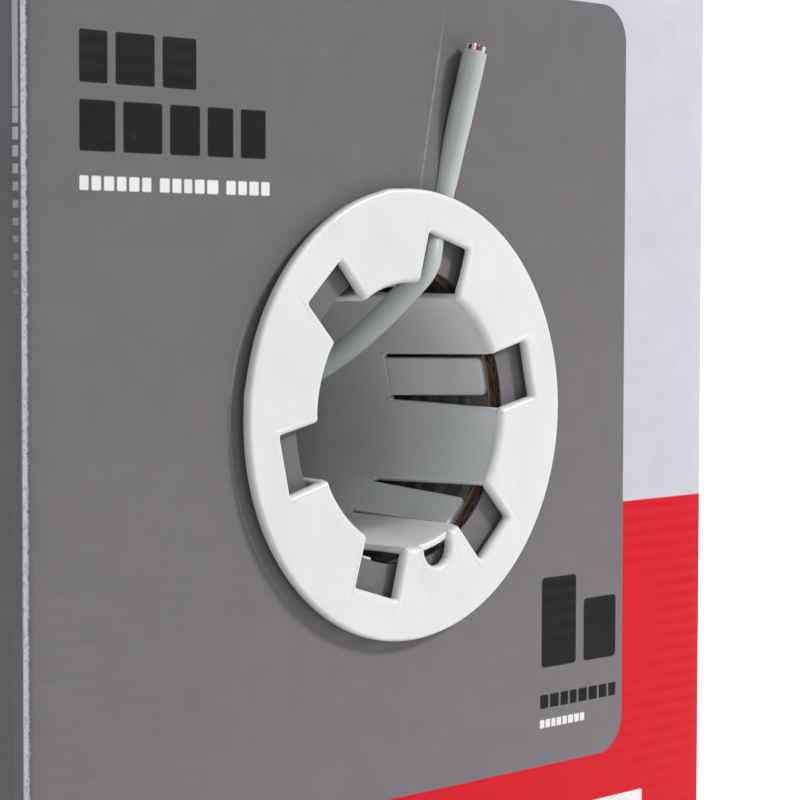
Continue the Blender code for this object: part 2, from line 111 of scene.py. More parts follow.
camera = add_camera(place=(-0.3764, -0.5235, 0.2047), yaw=VIEW_YAW, pitch=math.radians(2.831),
                    roll=math.radians(0.16), lens=112.79, shift=(-0.0022, -0.0083))
bpy.context.scene.camera = camera
bpy.context.scene.view_settings.view_transform = 'Standard'
print("camera at", [round(v, 3) for v in camera.location])

# %% [markdown]
# ## Surfaces as arrays of points
#
# Each piece is made of closed shells.  A shell is a grid of points, rows of rings, worked out
# as one numpy array.  The helper joins neighbours into four-sided faces, closes the two ends,
# and measures the signed volume to be sure that the faces look outwards.

# %% Shells and pieces
def grid_faces(rows, columns, wrap_rows):
    """Quads of a grid whose rings close: (i, j), (i, j+1), (i+1, j+1), (i+1, j)."""
    i = np.arange(rows if wrap_rows else rows - 1)[:, None]
    j = np.arange(columns)[None, :]
    after_i = (i + 1) % rows
    after_j = (j + 1) % columns
    corners = [row * columns + column
               for row, column in ((i, j), (i, after_j), (after_i, after_j), (after_i, j))]
    return np.stack(np.broadcast_arrays(*corners), axis=-1).reshape(-1, 4)


def signed_volume(points, faces):
    """A sixth of the sum of a . (b x c) over triangles fanned from each face's first corner."""
    a, b, c, d = (points[faces[:, k]] for k in range(4))
    return (np.einsum('ij,ij', a, np.cross(b, c)) + np.einsum('ij,ij', a, np.cross(c, d))) / 6


def shell(rings, wrap_rows=False):
    """A closed shell from an array of rings (rows, columns, 3); open ends get one cap each."""
    rings = np.asarray(rings, float)
    rows, columns = rings.shape[:2]
    points = rings.reshape(-1, 3)
    faces = grid_faces(rows, columns, wrap_rows)
    caps = []
    if not wrap_rows:
        caps = [np.arange(columns)[::-1], np.arange(columns) + (rows - 1) * columns]
        middles = np.array([points[cap].mean(axis=0) for cap in caps])
        fans = [np.stack([cap, np.roll(cap, -1), np.full(columns, rows * columns + k),
                          np.full(columns, rows * columns + k)], axis=-1)
                for k, cap in enumerate(caps)]
        volume = signed_volume(np.vstack([points, middles]), np.vstack([faces] + fans))
    else:
        volume = signed_volume(points, faces)
    if volume < 0:
        faces = faces[:, ::-1]
        caps = [cap[::-1] for cap in caps]
    return points, faces, caps


def add_piece(name, shells, finishes, picks=None, sharp=40, rides="carton", stands_for=()):
    """One object from several shells; picks says which finish each shell takes."""
    picks = picks or [0] * len(shells)
    points = np.vstack([part[0] for part in shells])
    faces, chosen = [], []
    start = 0
    for (part_points, part_faces, part_caps), pick in zip(shells, picks):
        faces += (part_faces + start).tolist()
        faces += [(cap + start).tolist() for cap in part_caps]
        chosen += [pick] * (len(part_faces) + len(part_caps))
        start += len(part_points)
    mesh = bpy.data.meshes.new(name)
    mesh.from_pydata(points.tolist(), [], faces)
    for finish in finishes:
        mesh.materials.append(finish)
    mesh.polygons.foreach_set("material_index", chosen)
    mesh.shade_smooth()
    mesh.set_sharp_from_angle(angle=math.radians(sharp))
    mesh.validate()
    obj = add_object(name, mesh)
    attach(obj, rides)
    if stands_for:
        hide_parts(*stands_for)
    print(name, len(points), "points,", len(faces), "faces")
    return obj


# %% [markdown]
# ## Writing shader maths as sums
#
# A finish is a small network of nodes.  Wrapping a socket in a class that knows +, -, * and /
# lets a formula be written as it is said, and each operation adds its Math node.

# %% Sockets with arithmetic
class Value:
    """A shader socket that can be added, subtracted, multiplied and divided."""

    def __init__(self, finish, socket):
        self.finish = finish
        self.socket = socket

    def math(self, operation, *others):
        return self.finish.node("ShaderNodeMath", {"operation": operation},
                                dict(enumerate((self,) + others)))

    def __add__(self, other):
        return self.math('ADD', other)

    def __sub__(self, other):
        return self.math('SUBTRACT', other)

    def __mul__(self, other):
        return self.math('MULTIPLY', other)

    def __truediv__(self, other):
        return self.math('DIVIDE', other)

    def __rsub__(self, other):
        return self.finish.number(other).math('SUBTRACT', self)

    def __abs__(self):
        return self.math('ABSOLUTE')

    __radd__ = __add__

    def clamped(self):
        """The value, held between 0 and 1."""
        return self.math('MINIMUM', 1.0).math('MAXIMUM', 0.0)

    def sine(self):
        return self.math('SINE')


class Finish:
    """One material, built node by node around a Principled shader."""

    def __init__(self, name, **settings):
        self.material = bpy.data.materials.new(name)
        self.material.use_nodes = True
        self.tree = self.material.node_tree
        self.shader = self.tree.nodes["Principled BSDF"]
        for socket, value in settings.items():
            self.shader.inputs[socket.replace("_", " ")].default_value = value
        coordinates = self.tree.nodes.new("ShaderNodeTexCoord")
        self.place = Value(self, coordinates.outputs["Object"])
        self.x, self.y, self.z = (self.node("ShaderNodeSeparateXYZ", {}, {0: self.place}, output=k)
                                  for k in range(3))

    def number(self, value):
        """A number as a socket, for a formula that starts with it."""
        node = self.tree.nodes.new("ShaderNodeValue")
        node.outputs[0].default_value = value
        return Value(self, node.outputs[0])

    def node(self, kind, settings, sockets, output=0):
        """Any node: its settings first, then the values or links of its sockets."""
        node = self.tree.nodes.new(kind)
        for key, value in settings.items():
            setattr(node, key, value)
        for key, value in sockets.items():
            if isinstance(value, Value):
                self.tree.links.new(value.socket, node.inputs[key])
            else:
                node.inputs[key].default_value = value
        return Value(self, node.outputs[output])

    def mix(self, share, under, over):
        """A colour between two, by a mask from 0 to 1."""
        under, over = (v if isinstance(v, Value) else (*v, 1.0) for v in (under, over))
        sockets = {0: share, 6: under, 7: over}
        return self.node("ShaderNodeMix", {"data_type": 'RGBA'}, sockets, output=2)

    def shade(self, colour, factor):
        """A colour made lighter or darker by a factor, as a vector scaled."""
        return self.node("ShaderNodeVectorMath", {"operation": 'SCALE'}, {0: colour, 3: factor})

    def noise(self, scale, detail=3.0, rough=0.5, at=None):
        """Soft noise from 0 to 1, with `scale` features in a metre."""
        return self.node("ShaderNodeTexNoise", {}, {"Vector": at or self.place, "Scale": scale,
                                                    "Detail": detail, "Roughness": rough})

    def grain(self, scales, detail=3.0, rough=0.5):
        """Noise with its own number of features in a metre along each axis, so it runs one way."""
        at = self.node("ShaderNodeMapping", {}, {"Vector": self.place, "Scale": scales})
        return self.noise(1.0, detail, rough, at)

    def band(self, value, low, high, soft):
        """1 between two limits and 0 outside, with edges `soft` wide."""
        rise = ((value - low) / soft + 0.5).clamped()
        fall = ((high - value) / soft + 0.5).clamped()
        return rise * fall

    def step(self, value, edge, soft):
        """0 below an edge and 1 above it."""
        return ((value - edge) / soft + 0.5).clamped()

    def rounded_box(self, a, b, low, high, radius, soft):
        """1 inside a rounded rectangle: the distance to its inner box, less the radius."""
        reach = []
        for value, lo, hi in ((a, low[0], high[0]), (b, low[1], high[1])):
            centre, half = (lo + hi) / 2, (hi - lo) / 2 - radius
            reach.append((abs(value - centre) - half).math('MAXIMUM', 0.0))
        distance = (reach[0] * reach[0] + reach[1] * reach[1]).math('SQRT')
        return ((radius - distance) / soft + 0.5).clamped()

    def bump(self, height, distance, strength=1.0, over=None):
        """A bump of a height in metres at 1, on top of another bump."""
        sockets = {"Height": height, "Distance": distance, "Strength": strength}
        if over:
            sockets["Normal"] = over
        return self.node("ShaderNodeBump", {}, sockets)

    def wire(self, **sockets):
        """Link the values that vary over the surface to the shader."""
        for name, value in sockets.items():
            self.tree.links.new(value.socket, self.shader.inputs[name.replace("_", " ")])
        return self.material


# %% [markdown]
# ## White plastic
#
# The tube is moulded polyethylene: milky white, satin, and never quite flat.  Very shallow
# broad waves give its highlights a moulded look, and a fine grain breaks them up.

# %% Finish: moulded white plastic
def white_plastic():
    """Milky white with shallow sink waves, fine grain and faint scuffs."""
    made = Finish("moulded_white_plastic", Subsurface_Weight=0.12, Subsurface_Scale=0.004, IOR=1.5)
    made.shader.inputs["Subsurface Radius"].default_value = (1.0, 0.9, 0.8)
    patches = made.noise(45.0, 2.0)
    grain = made.noise(1500.0, 3.0)
    scuffed = made.band(made.noise(260.0, 5.0, 0.7), 0.60, 0.63, 0.02)
    colour = made.mix(patches, (0.60, 0.615, 0.612), (0.67, 0.685, 0.68))
    colour = made.mix(scuffed * 0.10, colour, (0.45, 0.46, 0.45))
    rough = 0.30 + patches * 0.12 + grain * 0.06 + scuffed * 0.08
    waves = made.bump(made.noise(75.0, 1.0), 0.0009)
    fine = made.bump(grain, 0.00002, over=waves)
    return made.wire(Base_Color=colour, Roughness=rough, Normal=fine)


WHITE_PLASTIC = white_plastic()

# %% [markdown]
# ## Grey cable jacket
#
# Soft PVC drawn over four twisted pairs.  It is pale grey with a slight green cast, and faint
# lengthwise flow lines catch the light.  The turns round the payout hole take a darker copy of
# it, a painted shade for the narrow gap round the barrel.

# %% Finish: cable jacket
def jacket(name, light, dark):
    """PVC between the two greys given, with fine flow lines along the cable and small handling
    marks.
    """
    made = Finish(name, IOR=1.5)
    patches = made.noise(160.0, 3.0)
    lines = made.grain((1600.0, 1600.0, 90.0))
    colour = made.mix(patches, dark, light)
    colour = made.mix(lines * 0.25, colour, tuple(v * 0.8 for v in dark))
    rough = 0.25 + patches * 0.10
    bump = made.bump(lines, 0.00006)
    return made.wire(Base_Color=colour, Roughness=rough, Normal=bump)


JACKET = jacket("cable_jacket", (0.47, 0.505, 0.49), (0.38, 0.41, 0.40))
# A darker copy of the jacket for the turns round the payout hole: painted shade for the narrow gap
# between them and the barrel.
TURNS_JACKET_PAINTED_SHADE = jacket("jacket_round_the_hole_painted_shade", (0.23, 0.245, 0.24), (0.17, 0.18, 0.178))


def core_finish(name, colour, stripe):
    """Insulation in one colour with a paler or darker tracer wandering over it."""
    made = Finish(name, Roughness=0.38)
    wander = made.noise(900.0, 2.0)
    traced = made.band(wander, 0.56, 0.70, 0.05)
    bump = made.bump(made.noise(2500.0), 0.00002)
    return made.wire(Base_Color=made.mix(traced, colour, stripe), Normal=bump)


def bare_copper():
    """Freshly cut copper, orange and bright with fine drag marks."""
    made = Finish("bare_copper", Metallic=1.0)
    marks = made.noise(5000.0, 4.0)
    colour = made.mix(marks, (0.80, 0.36, 0.20), (0.95, 0.55, 0.36))
    return made.wire(Base_Color=colour, Roughness=0.22 + marks * 0.2)


COPPER = bare_copper()

# %% [markdown]
# ## The parked cable
#
# The cable leaves the tube, rises through one notch, slips under the flange and stands up
# against the face.  Its route is a smooth curve through a few points measured from the middle
# of the hole.  The jacket is a ring of points carried along that curve; its radius breathes a
# little because the four pairs inside are twisted.

# %% Smooth routes
CABLE_DIAMETER = 0.0052
TAIL_ROUTE = [
    (0.0002, 0.0290, 0.0068),
    (0.0010, 0.0200, 0.0116),
    (0.0020, 0.0122, 0.0168),
    (0.0042, 0.0047, 0.0238),
    (0.0066, -0.0001, 0.0300),
    (0.0091, 0.0004, 0.0365),
    (0.0118, 0.0006, 0.0440),
    (0.0134, 0.0002, 0.0500),
    (0.0144, -0.0008, 0.0560),
    (0.0154, -0.0018, 0.0620),
    (0.0167, -0.0026, 0.0685),
    (0.0183, -0.0030, 0.0748),
]
RUN_ROUTE = [
    (0.0420, 0.2572, 0.0063),
    (0.0400, 0.2526, -0.0309),
    (0.0340, 0.2280, -0.0652),
    (0.0240, 0.1885, -0.0828),
    (0.0110, 0.1480, -0.0640),
    (0.0010, 0.1240, -0.0320),
    (-0.0040, 0.1040, -0.0090),
    (-0.0055, 0.0860, 0.0000),
    (-0.0045, 0.0660, 0.0012),
    (-0.0025, 0.0480, 0.0020),
    (-0.0006, 0.0380, 0.0037),
    (0.0002, 0.0293, 0.0067),
]


def even_points(line, spacing, last):
    """Points at even distances along a line, the number of them rounded; last keeps its end."""
    steps = np.linalg.norm(np.diff(line, axis=0), axis=1)
    travelled = np.concatenate([[0], np.cumsum(steps)])
    count = travelled[-1] / spacing
    if last:
        marks = np.linspace(0, travelled[-1], int(round(count)) + 1)
    else:
        marks = np.linspace(0, travelled[-1], int(count), endpoint=False)
    return np.stack([np.interp(marks, travelled, column) for column in line.T], axis=1)


def smooth_route(points, spacing):
    """Even points on the Catmull-Rom curve through four points a, b, c, d at a time.

    It is half of 2b + (c - a) t + (2a - 5b + 4c - d) t2 + (3b - a - 3c + d) t3.
    """
    points = np.asarray(points, float)
    padded = np.vstack([2 * points[0] - points[1], points, 2 * points[-1] - points[-2]])
    a, b, c, d = (padded[k:len(padded) - 3 + k, None, :] for k in range(4))
    t = np.linspace(0, 1, 40, endpoint=False)[None, :, None]
    fine = 0.5 * (2 * b + (c - a) * t + (2 * a - 5 * b + 4 * c - d) * t ** 2
                  + (3 * b - a - 3 * c + d) * t ** 3)
    return even_points(np.vstack([fine.reshape(-1, 3), points[-1:]]), spacing, last=True)


def unit(vectors):
    """Vectors divided by their lengths."""
    return vectors / np.linalg.norm(vectors, axis=-1, keepdims=True)


def directions(route):
    """The curve's direction at each point, from its neighbours."""
    return unit(np.gradient(route, axis=0))


def tube_rings(centres, ahead, radii, sides):
    """Rings about a curve: centre + radius (across cos a + up sin a), across close to +X."""
    angles = np.arange(sides) * 2 * math.pi / sides
    across = unit(np.array([1.0, 0, 0]) - ahead * ahead[:, :1])
    up = np.cross(ahead, across)
    radii = np.asarray(radii, float).reshape(len(centres), -1)
    radii = np.broadcast_to(radii, (len(centres), sides))
    round_it = across[:, None] * np.cos(angles)[:, None] + up[:, None] * np.sin(angles)[:, None]
    return centres[:, None] + round_it * radii[..., None]


def length_of(route):
    return float(np.linalg.norm(np.diff(route, axis=0), axis=1).sum())


tail = HOLE + smooth_route(TAIL_ROUTE, 0.0005)
run = HOLE + smooth_route(RUN_ROUTE, 0.0015)

# %% [markdown]
# ## The jacket and its cut end
#
# The tail is one closed shell.  At the cut its ring turns inwards over a small rounded lip,
# runs back down the inside of the jacket, and closes, so the cores stand in a real opening.

# %% Tail and run
JACKET_RADIUS = CABLE_DIAMETER / 2
LIP = 0.00012
JACKET_INSIDE = 0.0020
TWIST_PITCH = 0.021                           # one turn of the pairs inside


def jacket_radii(travelled, sides):
    """R (1 - 0.008 + 0.008 cos(2 (angle - turn))), turn growing along the cable."""
    angles = np.arange(sides) * 2 * math.pi / sides
    turn = travelled[:, None] * 2 * math.pi / TWIST_PITCH
    return JACKET_RADIUS * (0.992 + 0.008 * np.cos(2 * (angles - turn)))


def cut_cable(route, sides):
    """The jacket's outside, its rounded lip at the cut, and the hollow just inside it."""
    ahead = directions(route)
    travelled = np.linspace(0, length_of(route), len(route))
    outer = tube_rings(route, ahead, jacket_radii(travelled, sides), sides)
    tip, last = route[-1], ahead[-1:]
    depths = np.array([0.00006, 0.0, 0.0, 0.00006, 0.0011])
    radii = np.array([JACKET_RADIUS - LIP / 3, JACKET_RADIUS - LIP, JACKET_INSIDE + LIP / 2,
                      JACKET_INSIDE, JACKET_INSIDE - LIP])
    along = np.repeat(last, len(depths), axis=0)
    inner = tube_rings(tip - last * depths[:, None], along, radii, sides)
    return shell(np.vstack([outer[:-1], inner]))


tail_piece = add_piece("parked_cable_tail", [cut_cable(tail, 32)], [JACKET], sharp=50,
                       stands_for=["cable_tail"])

RUN_OVERLAP = 3                               # points by which the run reaches into the tail
RUN_THINNER = 0.985                           # keeps the run just inside the tail's jacket
run_line = np.vstack([run, tail[1:RUN_OVERLAP]])
run_radii = np.full(len(run_line), JACKET_RADIUS * RUN_THINNER)
run_rings = tube_rings(run_line, directions(run_line), run_radii, 24)
add_piece("cable_from_winding", [shell(run_rings)], [JACKET], sharp=50,
          stands_for=["cable_payout_run"])

# %% [markdown]
# ## Eight cores
#
# Each pair is two insulated wires side by side.  A wire is a short tube whose end rounds over
# and shows the copper, and every pair leans its own way, as cut cable springs open.

# %% Cores at the cut
CORE_DIAMETER = 0.00095
CORE_LENGTH = 0.0016
CORE_SUNK = 0.0009                            # how far a core reaches back into the jacket
COPPER_RADIUS = 0.00026
PAIR_RADIUS = 0.00125
CORE_TURN = math.radians(20)
CORE_COLOURS = {"blue": (0.012, 0.022, 0.06), "orange": (0.34, 0.035, 0.025),
                "green": (0.02, 0.16, 0.07), "brown": (0.20, 0.05, 0.03)}
CORE_WHITE = (0.72, 0.72, 0.70)
LEANS = {"blue": 0.10, "orange": 0.16, "green": 0.22, "brown": 0.06}


def rod_shell(start, ahead, steps, radii, sides):
    """A straight rod with a radius at each step along it."""
    along = np.repeat(ahead[None], len(steps), axis=0)
    return shell(tube_rings(start + ahead * np.array(steps)[:, None], along, radii, sides))


def core_shells(start, ahead, reach):
    """Insulation as a rod with a rounded end, and the copper as a thinner rod just past it."""
    radii = np.full(9, CORE_DIAMETER / 2)
    radii[-2:] *= (0.98, 0.86)
    insulation = rod_shell(start, ahead, np.linspace(-CORE_SUNK, reach, 9), radii, 16)
    copper = rod_shell(start, ahead, [reach - 0.0004, reach + 0.00008, reach + 0.00012],
                       [COPPER_RADIUS, COPPER_RADIUS, 0.00020], 12)
    return [insulation, copper]


def add_cores(tip, ahead):
    """Four pairs about the cable's middle, each pair turned by the same small angle."""
    across = unit(np.array([0, 1.0, 0]) - ahead * ahead[1])
    side = np.cross(ahead, across)
    white = core_finish("core_white_insulation", CORE_WHITE, (0.60, 0.58, 0.56))
    made = []
    for k, (name, colour) in enumerate(CORE_COLOURS.items()):
        angle = math.radians(45) + k * math.pi / 2
        outward = across * math.cos(angle) + side * math.sin(angle)
        turn = angle + math.pi / 2 + CORE_TURN
        offset = (across * math.cos(turn) + side * math.sin(turn)) * CORE_DIAMETER * 0.52
        lean = unit(ahead + outward * LEANS[name])
        stripe = tuple(0.5 * v + 0.04 for v in colour)
        coloured = core_finish(f"core_{name}_insulation", colour, stripe)
        for label, sign, finish, slot in ((f"core_{name}", 1, coloured, f"core_{name}"),
                                          (f"core_white_{name}", -1, white, "core_white")):
            reach = CORE_LENGTH * (0.80 + 0.07 * ((k * 3 + sign) % 4))
            start = tip + outward * PAIR_RADIUS * 0.92 + offset * sign
            made.append(add_piece(f"{label}_wire", core_shells(start, lean, reach),
                                  [finish, COPPER], picks=[0, 1], sharp=60, stands_for=[label]))
    return made


cores = add_cores(tail[-1], directions(tail)[-1])

# %% [markdown]
# ## The payout tube's flange
#
# The flange is a plate whose outer edge is a circle and whose inner edge is a gear: six petals
# on the bore's circle, six notches between them, and one small half-round.  Its edge is a
# closed path with rounded corners.  The plate is lofted from that path to the rim, with a
# wide roundness where a petal turns into the bore and a narrow one along the notches.

# %% Sizes of the tube
BORE_RADIUS = 0.027
BARREL_WALL = 0.0015
BARREL_OUTER = BORE_RADIUS + BARREL_WALL
FLANGE_THICKNESS = 0.0021
FLANGE_BACK = FLANGE_FRONT - FLANGE_THICKNESS
RIM_ROUND = 0.0008
MOUTH_ROUND = 0.0017
NOTCH_ROUND = 0.00110
FINGER_COUNT = 6
FIRST_FINGER = math.radians(13.2)
NOTCH_OUTER = 0.0372
NOTCH_OUTER_WIDTH = 0.0122
NOTCH_INNER_WIDTH = 0.0118
PETAL_CORNER = 0.0016
NOTCH_CORNER = 0.0006
HALF_ROUND_ANGLE = math.radians(-75)
HALF_ROUND_RADIUS = 0.0039
HALF_ROUND_SWEEP = 104                        # degrees of its arc to each side of its middle
PETAL_MARGIN = 0.075                          # angle left at a petal's ends for their corners
PARKING_FINGER = 1                            # the notch that holds the cable, counted from 0
RELIEF_DEPTH = 0.0012                         # how much thinner the flange is over the cable
FLANGE_WAVES = ((0.00010, 3, 0.6), (0.00006, 7, 2.0))       # height, count, phase
FLASHES = ((0.00022, 1.72, 0.05), (0.00016, 3.02, 0.04))    # height, angle, width
SECTOR = 2 * math.pi / FINGER_COUNT


def finger_angle(index):
    """Angle of a finger and its notch, from +X towards +Z."""
    return FIRST_FINGER + index * SECTOR


def polar(radius, angle):
    """Points at a radius and an angle, as (x, z)."""
    return np.stack([radius * np.cos(angle), radius * np.sin(angle)], axis=-1)


def into_box(across, up, behind):
    """Points from (x, z) about the payout axis and a depth behind the face."""
    return np.stack([HOLE[0] + across, HOLE[1] + behind, HOLE[2] + up], axis=-1)


def rounded_path(corners, radii, spacing):
    """A closed path through corners, each replaced by an arc of its radius, then evenly spaced.

    An arc touches both sides at radius / tan(half the corner) from the corner; it is drawn as
    a quadratic curve between those two points, which is close to a circle for square corners.
    """
    before = np.roll(corners, 1, axis=0) - corners
    after = np.roll(corners, -1, axis=0) - corners
    length_before = np.linalg.norm(before, axis=1)
    length_after = np.linalg.norm(after, axis=1)
    cosine = np.einsum('ij,ij->i', before, after) / (length_before * length_after)
    half = np.arccos(np.clip(cosine, -1, 1)) / 2
    reach = np.minimum(radii / np.tan(half), 0.48 * np.minimum(length_before, length_after))
    start = corners + before / length_before[:, None] * reach[:, None]
    end = corners + after / length_after[:, None] * reach[:, None]
    t = np.linspace(0, 1, 9)[None, :, None]
    curve = (1 - t) ** 2 * start[:, None] + 2 * t * (1 - t) * corners[:, None] \
        + t ** 2 * end[:, None]
    curve = curve.reshape(-1, 2)
    return even_points(np.vstack([curve, curve[:1]]), spacing, last=False)


def gear_corners():
    """Corner points of the flange's inner edge, and the rounding of each."""
    corners, radii = [], []
    centre = polar(BORE_RADIUS + MOUTH_ROUND, HALF_ROUND_ANGLE)
    for index in range(FINGER_COUNT):
        angle = finger_angle(index)
        out, across = polar(1.0, angle), polar(1.0, angle + math.pi / 2)
        inner_half, outer_half = NOTCH_INNER_WIDTH / 2, NOTCH_OUTER_WIDTH / 2
        inner = math.sqrt(BORE_RADIUS ** 2 - inner_half ** 2)
        for reach, side, radius in ((inner, -inner_half, PETAL_CORNER),
                                    (NOTCH_OUTER, -outer_half, NOTCH_CORNER),
                                    (NOTCH_OUTER, outer_half, NOTCH_CORNER),
                                    (inner, inner_half, PETAL_CORNER)):
            corners.append(out * reach + across * side)
            radii.append(radius)
        gap = math.asin(inner_half / BORE_RADIUS) + PETAL_MARGIN
        petal = polar(BORE_RADIUS, np.linspace(angle + gap, angle + SECTOR - gap, 15))
        clear = np.linalg.norm(petal - centre, axis=1) > HALF_ROUND_RADIUS + 0.0006
        bite = centre - polar(BORE_RADIUS, angle + SECTOR / 2)
        if np.linalg.norm(bite) < SECTOR * BORE_RADIUS / 2:
            turn = np.radians(np.linspace(-HALF_ROUND_SWEEP, HALF_ROUND_SWEEP, 13))
            cut = centre + polar(HALF_ROUND_RADIUS, HALF_ROUND_ANGLE + turn)
            around = np.arctan2(petal[:, 1], petal[:, 0])
            petal = np.vstack([petal[clear & (around < HALF_ROUND_ANGLE)], cut,
                               petal[clear & (around > HALF_ROUND_ANGLE)]])
        corners += list(petal)
        radii += [0.0002] * len(petal)
    return np.array(corners), np.array(radii)


def smoothed(values, width):
    """A closed row of values, averaged over `width` neighbours three times."""
    kernel = np.ones(width) / width
    for _ in range(3):
        wrapped = np.concatenate([values[-width:], values, values[:width]])
        values = np.convolve(wrapped, kernel, mode='same')[width:-width]
    return values


def outward_normals(path):
    """For a closed path run anticlockwise, the unit normals to its right."""
    ahead = unit(np.roll(path, -1, axis=0) - np.roll(path, 1, axis=0))
    return np.stack([ahead[:, 1], -ahead[:, 0]], axis=1)


gear = rounded_path(*gear_corners(), 0.00022)
print("flange edge:", len(gear), "points")

# %% [markdown]
# The plate's cross-section is a closed loop: up the inner wall, round its front edge, out
# across the face, over the rim, and home along the back.  Every point of the loop is an inset
# from the gear path or from the rim, so the whole plate is one array.

# %% Flange plate
def between(angle, other):
    """The turn from one angle to another, from -pi to pi."""
    return np.angle(np.exp(1j * (angle - other)))


def flange_rings(path):
    """Rings: inset path for the inner edge, straight lines to the rim circle at the same angle."""
    normal = outward_normals(path)
    radius = np.linalg.norm(path, axis=1)
    angle = np.arctan2(path[:, 1], path[:, 0])
    on_mouth = smoothed((radius < BORE_RADIUS + 0.0006).astype(float), 9)
    rounding = NOTCH_ROUND + (MOUTH_ROUND - NOTCH_ROUND) * on_mouth ** 2
    gap = between(angle, finger_angle(PARKING_FINGER))
    over_cable = 1 / (1 + (np.abs(gap) / 0.20) ** 12)
    back = -FLANGE_BACK - RELIEF_DEPTH * over_cable
    wave = sum(high * np.sin(angle * count + phase) for high, count, phase in FLANGE_WAVES)
    flash = sum(high * np.exp(-(between(angle, at) / wide) ** 2) for high, at, wide in FLASHES)
    rim = polar(FLANGE_RADIUS - 0.00025 + wave * 0.6 + flash, angle)
    inward = -polar(1.0, angle)
    rings = []

    def ring(points, depth):
        rings.append(into_box(points[:, 0], points[:, 1], np.broadcast_to(depth, len(points))))

    retreat = (0.0004 * on_mouth)[:, None]
    ring(path + normal * (retreat + 0.0002), back)
    ring(path + normal * retreat, back - 0.0002)
    for turn in np.radians(np.linspace(90, 0, 7)):
        inset = rounding * (1 - np.sin(turn))
        ring(path + normal * inset[:, None], -FLANGE_FRONT + rounding * (1 - np.cos(turn)))
    start = path + normal * rounding[:, None]
    edge = rim + inward * RIM_ROUND
    for share in (0.12, 0.3, 0.5, 0.7, 0.88, 1.0):
        sink = 0.00012 * math.sin(math.pi * share)
        ring(start + (edge - start) * share, -FLANGE_FRONT + sink)
    for turn in np.radians(np.linspace(15, 90, 6)):
        ring(rim + inward * RIM_ROUND * (1 - math.sin(turn)),
             -FLANGE_FRONT + RIM_ROUND * (1 - math.cos(turn)))
    ring(rim, np.minimum(back - 0.0002, -FLANGE_BACK - 0.0004))
    ring(rim + inward * 0.0003, back)
    ring((rim + path) / 2, back)
    return np.stack(rings)


flange = shell(flange_rings(gear), wrap_rows=True)

# %% [markdown]
# ## The barrel and its slots
#
# Unrolled, the barrel is a strip whose front edge drops into six tapering slots.  One sixth of
# that edge is a short line with rounded corners, repeated six times.  The shell is drawn from
# the edge straight back: inner wall, back lip, outer wall, and a small round over the edge.

# %% Barrel
SLOT_MOUTH_WIDTH = 0.0121
SLOT_ROOT_WIDTH = 0.0105
SLOT_END = 0.0293
SLOT_CORNER = 0.0011
BARREL_FRONT = -0.0021                        # hidden inside the flange
WALL_MIDDLE = BORE_RADIUS + BARREL_WALL / 2
EDGE_ROUND = 0.00045
WALL_SHARES = (0.15, 0.5, 0.85)               # rings down the straight wall
BEAD_SIZES = (0.0007, 0.00062, 0.0009)        # along the radius, across, and into the box


def rounded_line(corners, reach, spacing):
    """An open line whose corners are quadratic curves starting `reach` before each corner."""
    corners = np.asarray(corners, float)
    before = unit(corners[:-2] - corners[1:-1]) * reach
    after = unit(corners[2:] - corners[1:-1]) * reach
    middle = corners[1:-1, None]
    t = np.linspace(0, 1, 7)[None, :, None]
    curve = middle + (1 - t) ** 2 * before[:, None] + t ** 2 * after[:, None]
    line = np.vstack([corners[:1], curve.reshape(-1, 2), corners[-1:]])
    return even_points(line, spacing, last=False)


def barrel_edge():
    """(distance round the wall, depth) along the slotted front edge, one whole turn."""
    mouth, root, end = SLOT_MOUTH_WIDTH / 2, SLOT_ROOT_WIDTH / 2, SECTOR * WALL_MIDDLE / 2
    sixth = rounded_line([(-end, BARREL_FRONT), (-mouth, BARREL_FRONT), (-root, SLOT_END),
                          (root, SLOT_END), (mouth, BARREL_FRONT), (end, BARREL_FRONT)],
                         SLOT_CORNER, 0.0004)
    steps = np.arange(FINGER_COUNT)[:, None, None] * [[[SECTOR * WALL_MIDDLE, 0]]]
    return (sixth[None] + steps).reshape(-1, 2)


def barrel_rings():
    """Rings: inset along the edge's normal while the radius rounds over, then straight back."""
    line = barrel_edge()
    whole = [2 * math.pi * WALL_MIDDLE, 0]
    after = np.vstack([line[1:], line[:1] + whole])
    before = np.vstack([line[-1:] - whole, line[:-1]])
    ahead = unit(after - before)
    into_wall = np.stack([-ahead[:, 1], ahead[:, 0]], axis=1)
    rings = []

    def ring(flat, radius):
        circle = polar(radius, FIRST_FINGER + flat[:, 0] / WALL_MIDDLE)
        rings.append(into_box(circle[:, 0], circle[:, 1], flat[:, 1]))

    def towards_back(share):
        flat = line + into_wall * EDGE_ROUND
        flat[:, 1] += (BARREL_END - flat[:, 1]) * share
        return flat

    def lip(turn):
        flat = towards_back(1.0)
        flat[:, 1] -= EDGE_ROUND * (1 - math.sin(turn))
        return flat

    def mouth(turn):
        return line + into_wall * EDGE_ROUND * (1 - math.sin(turn))

    def off_wall(turn):
        return EDGE_ROUND * (1 - math.cos(turn))

    quarter = np.radians(np.linspace(0, 90, 4))
    for turn in quarter:
        ring(mouth(turn), BORE_RADIUS + off_wall(turn))
    for turn in quarter[::-1]:
        ring(mouth(turn), BARREL_OUTER - off_wall(turn))
    for share in WALL_SHARES:
        ring(towards_back(share), BARREL_OUTER)
    for turn in quarter:
        ring(lip(turn), BARREL_OUTER - off_wall(turn))
    for turn in quarter[::-1]:
        ring(lip(turn), BORE_RADIUS + off_wall(turn))
    for share in WALL_SHARES[::-1]:
        ring(towards_back(share), BORE_RADIUS)
    return np.stack(rings)


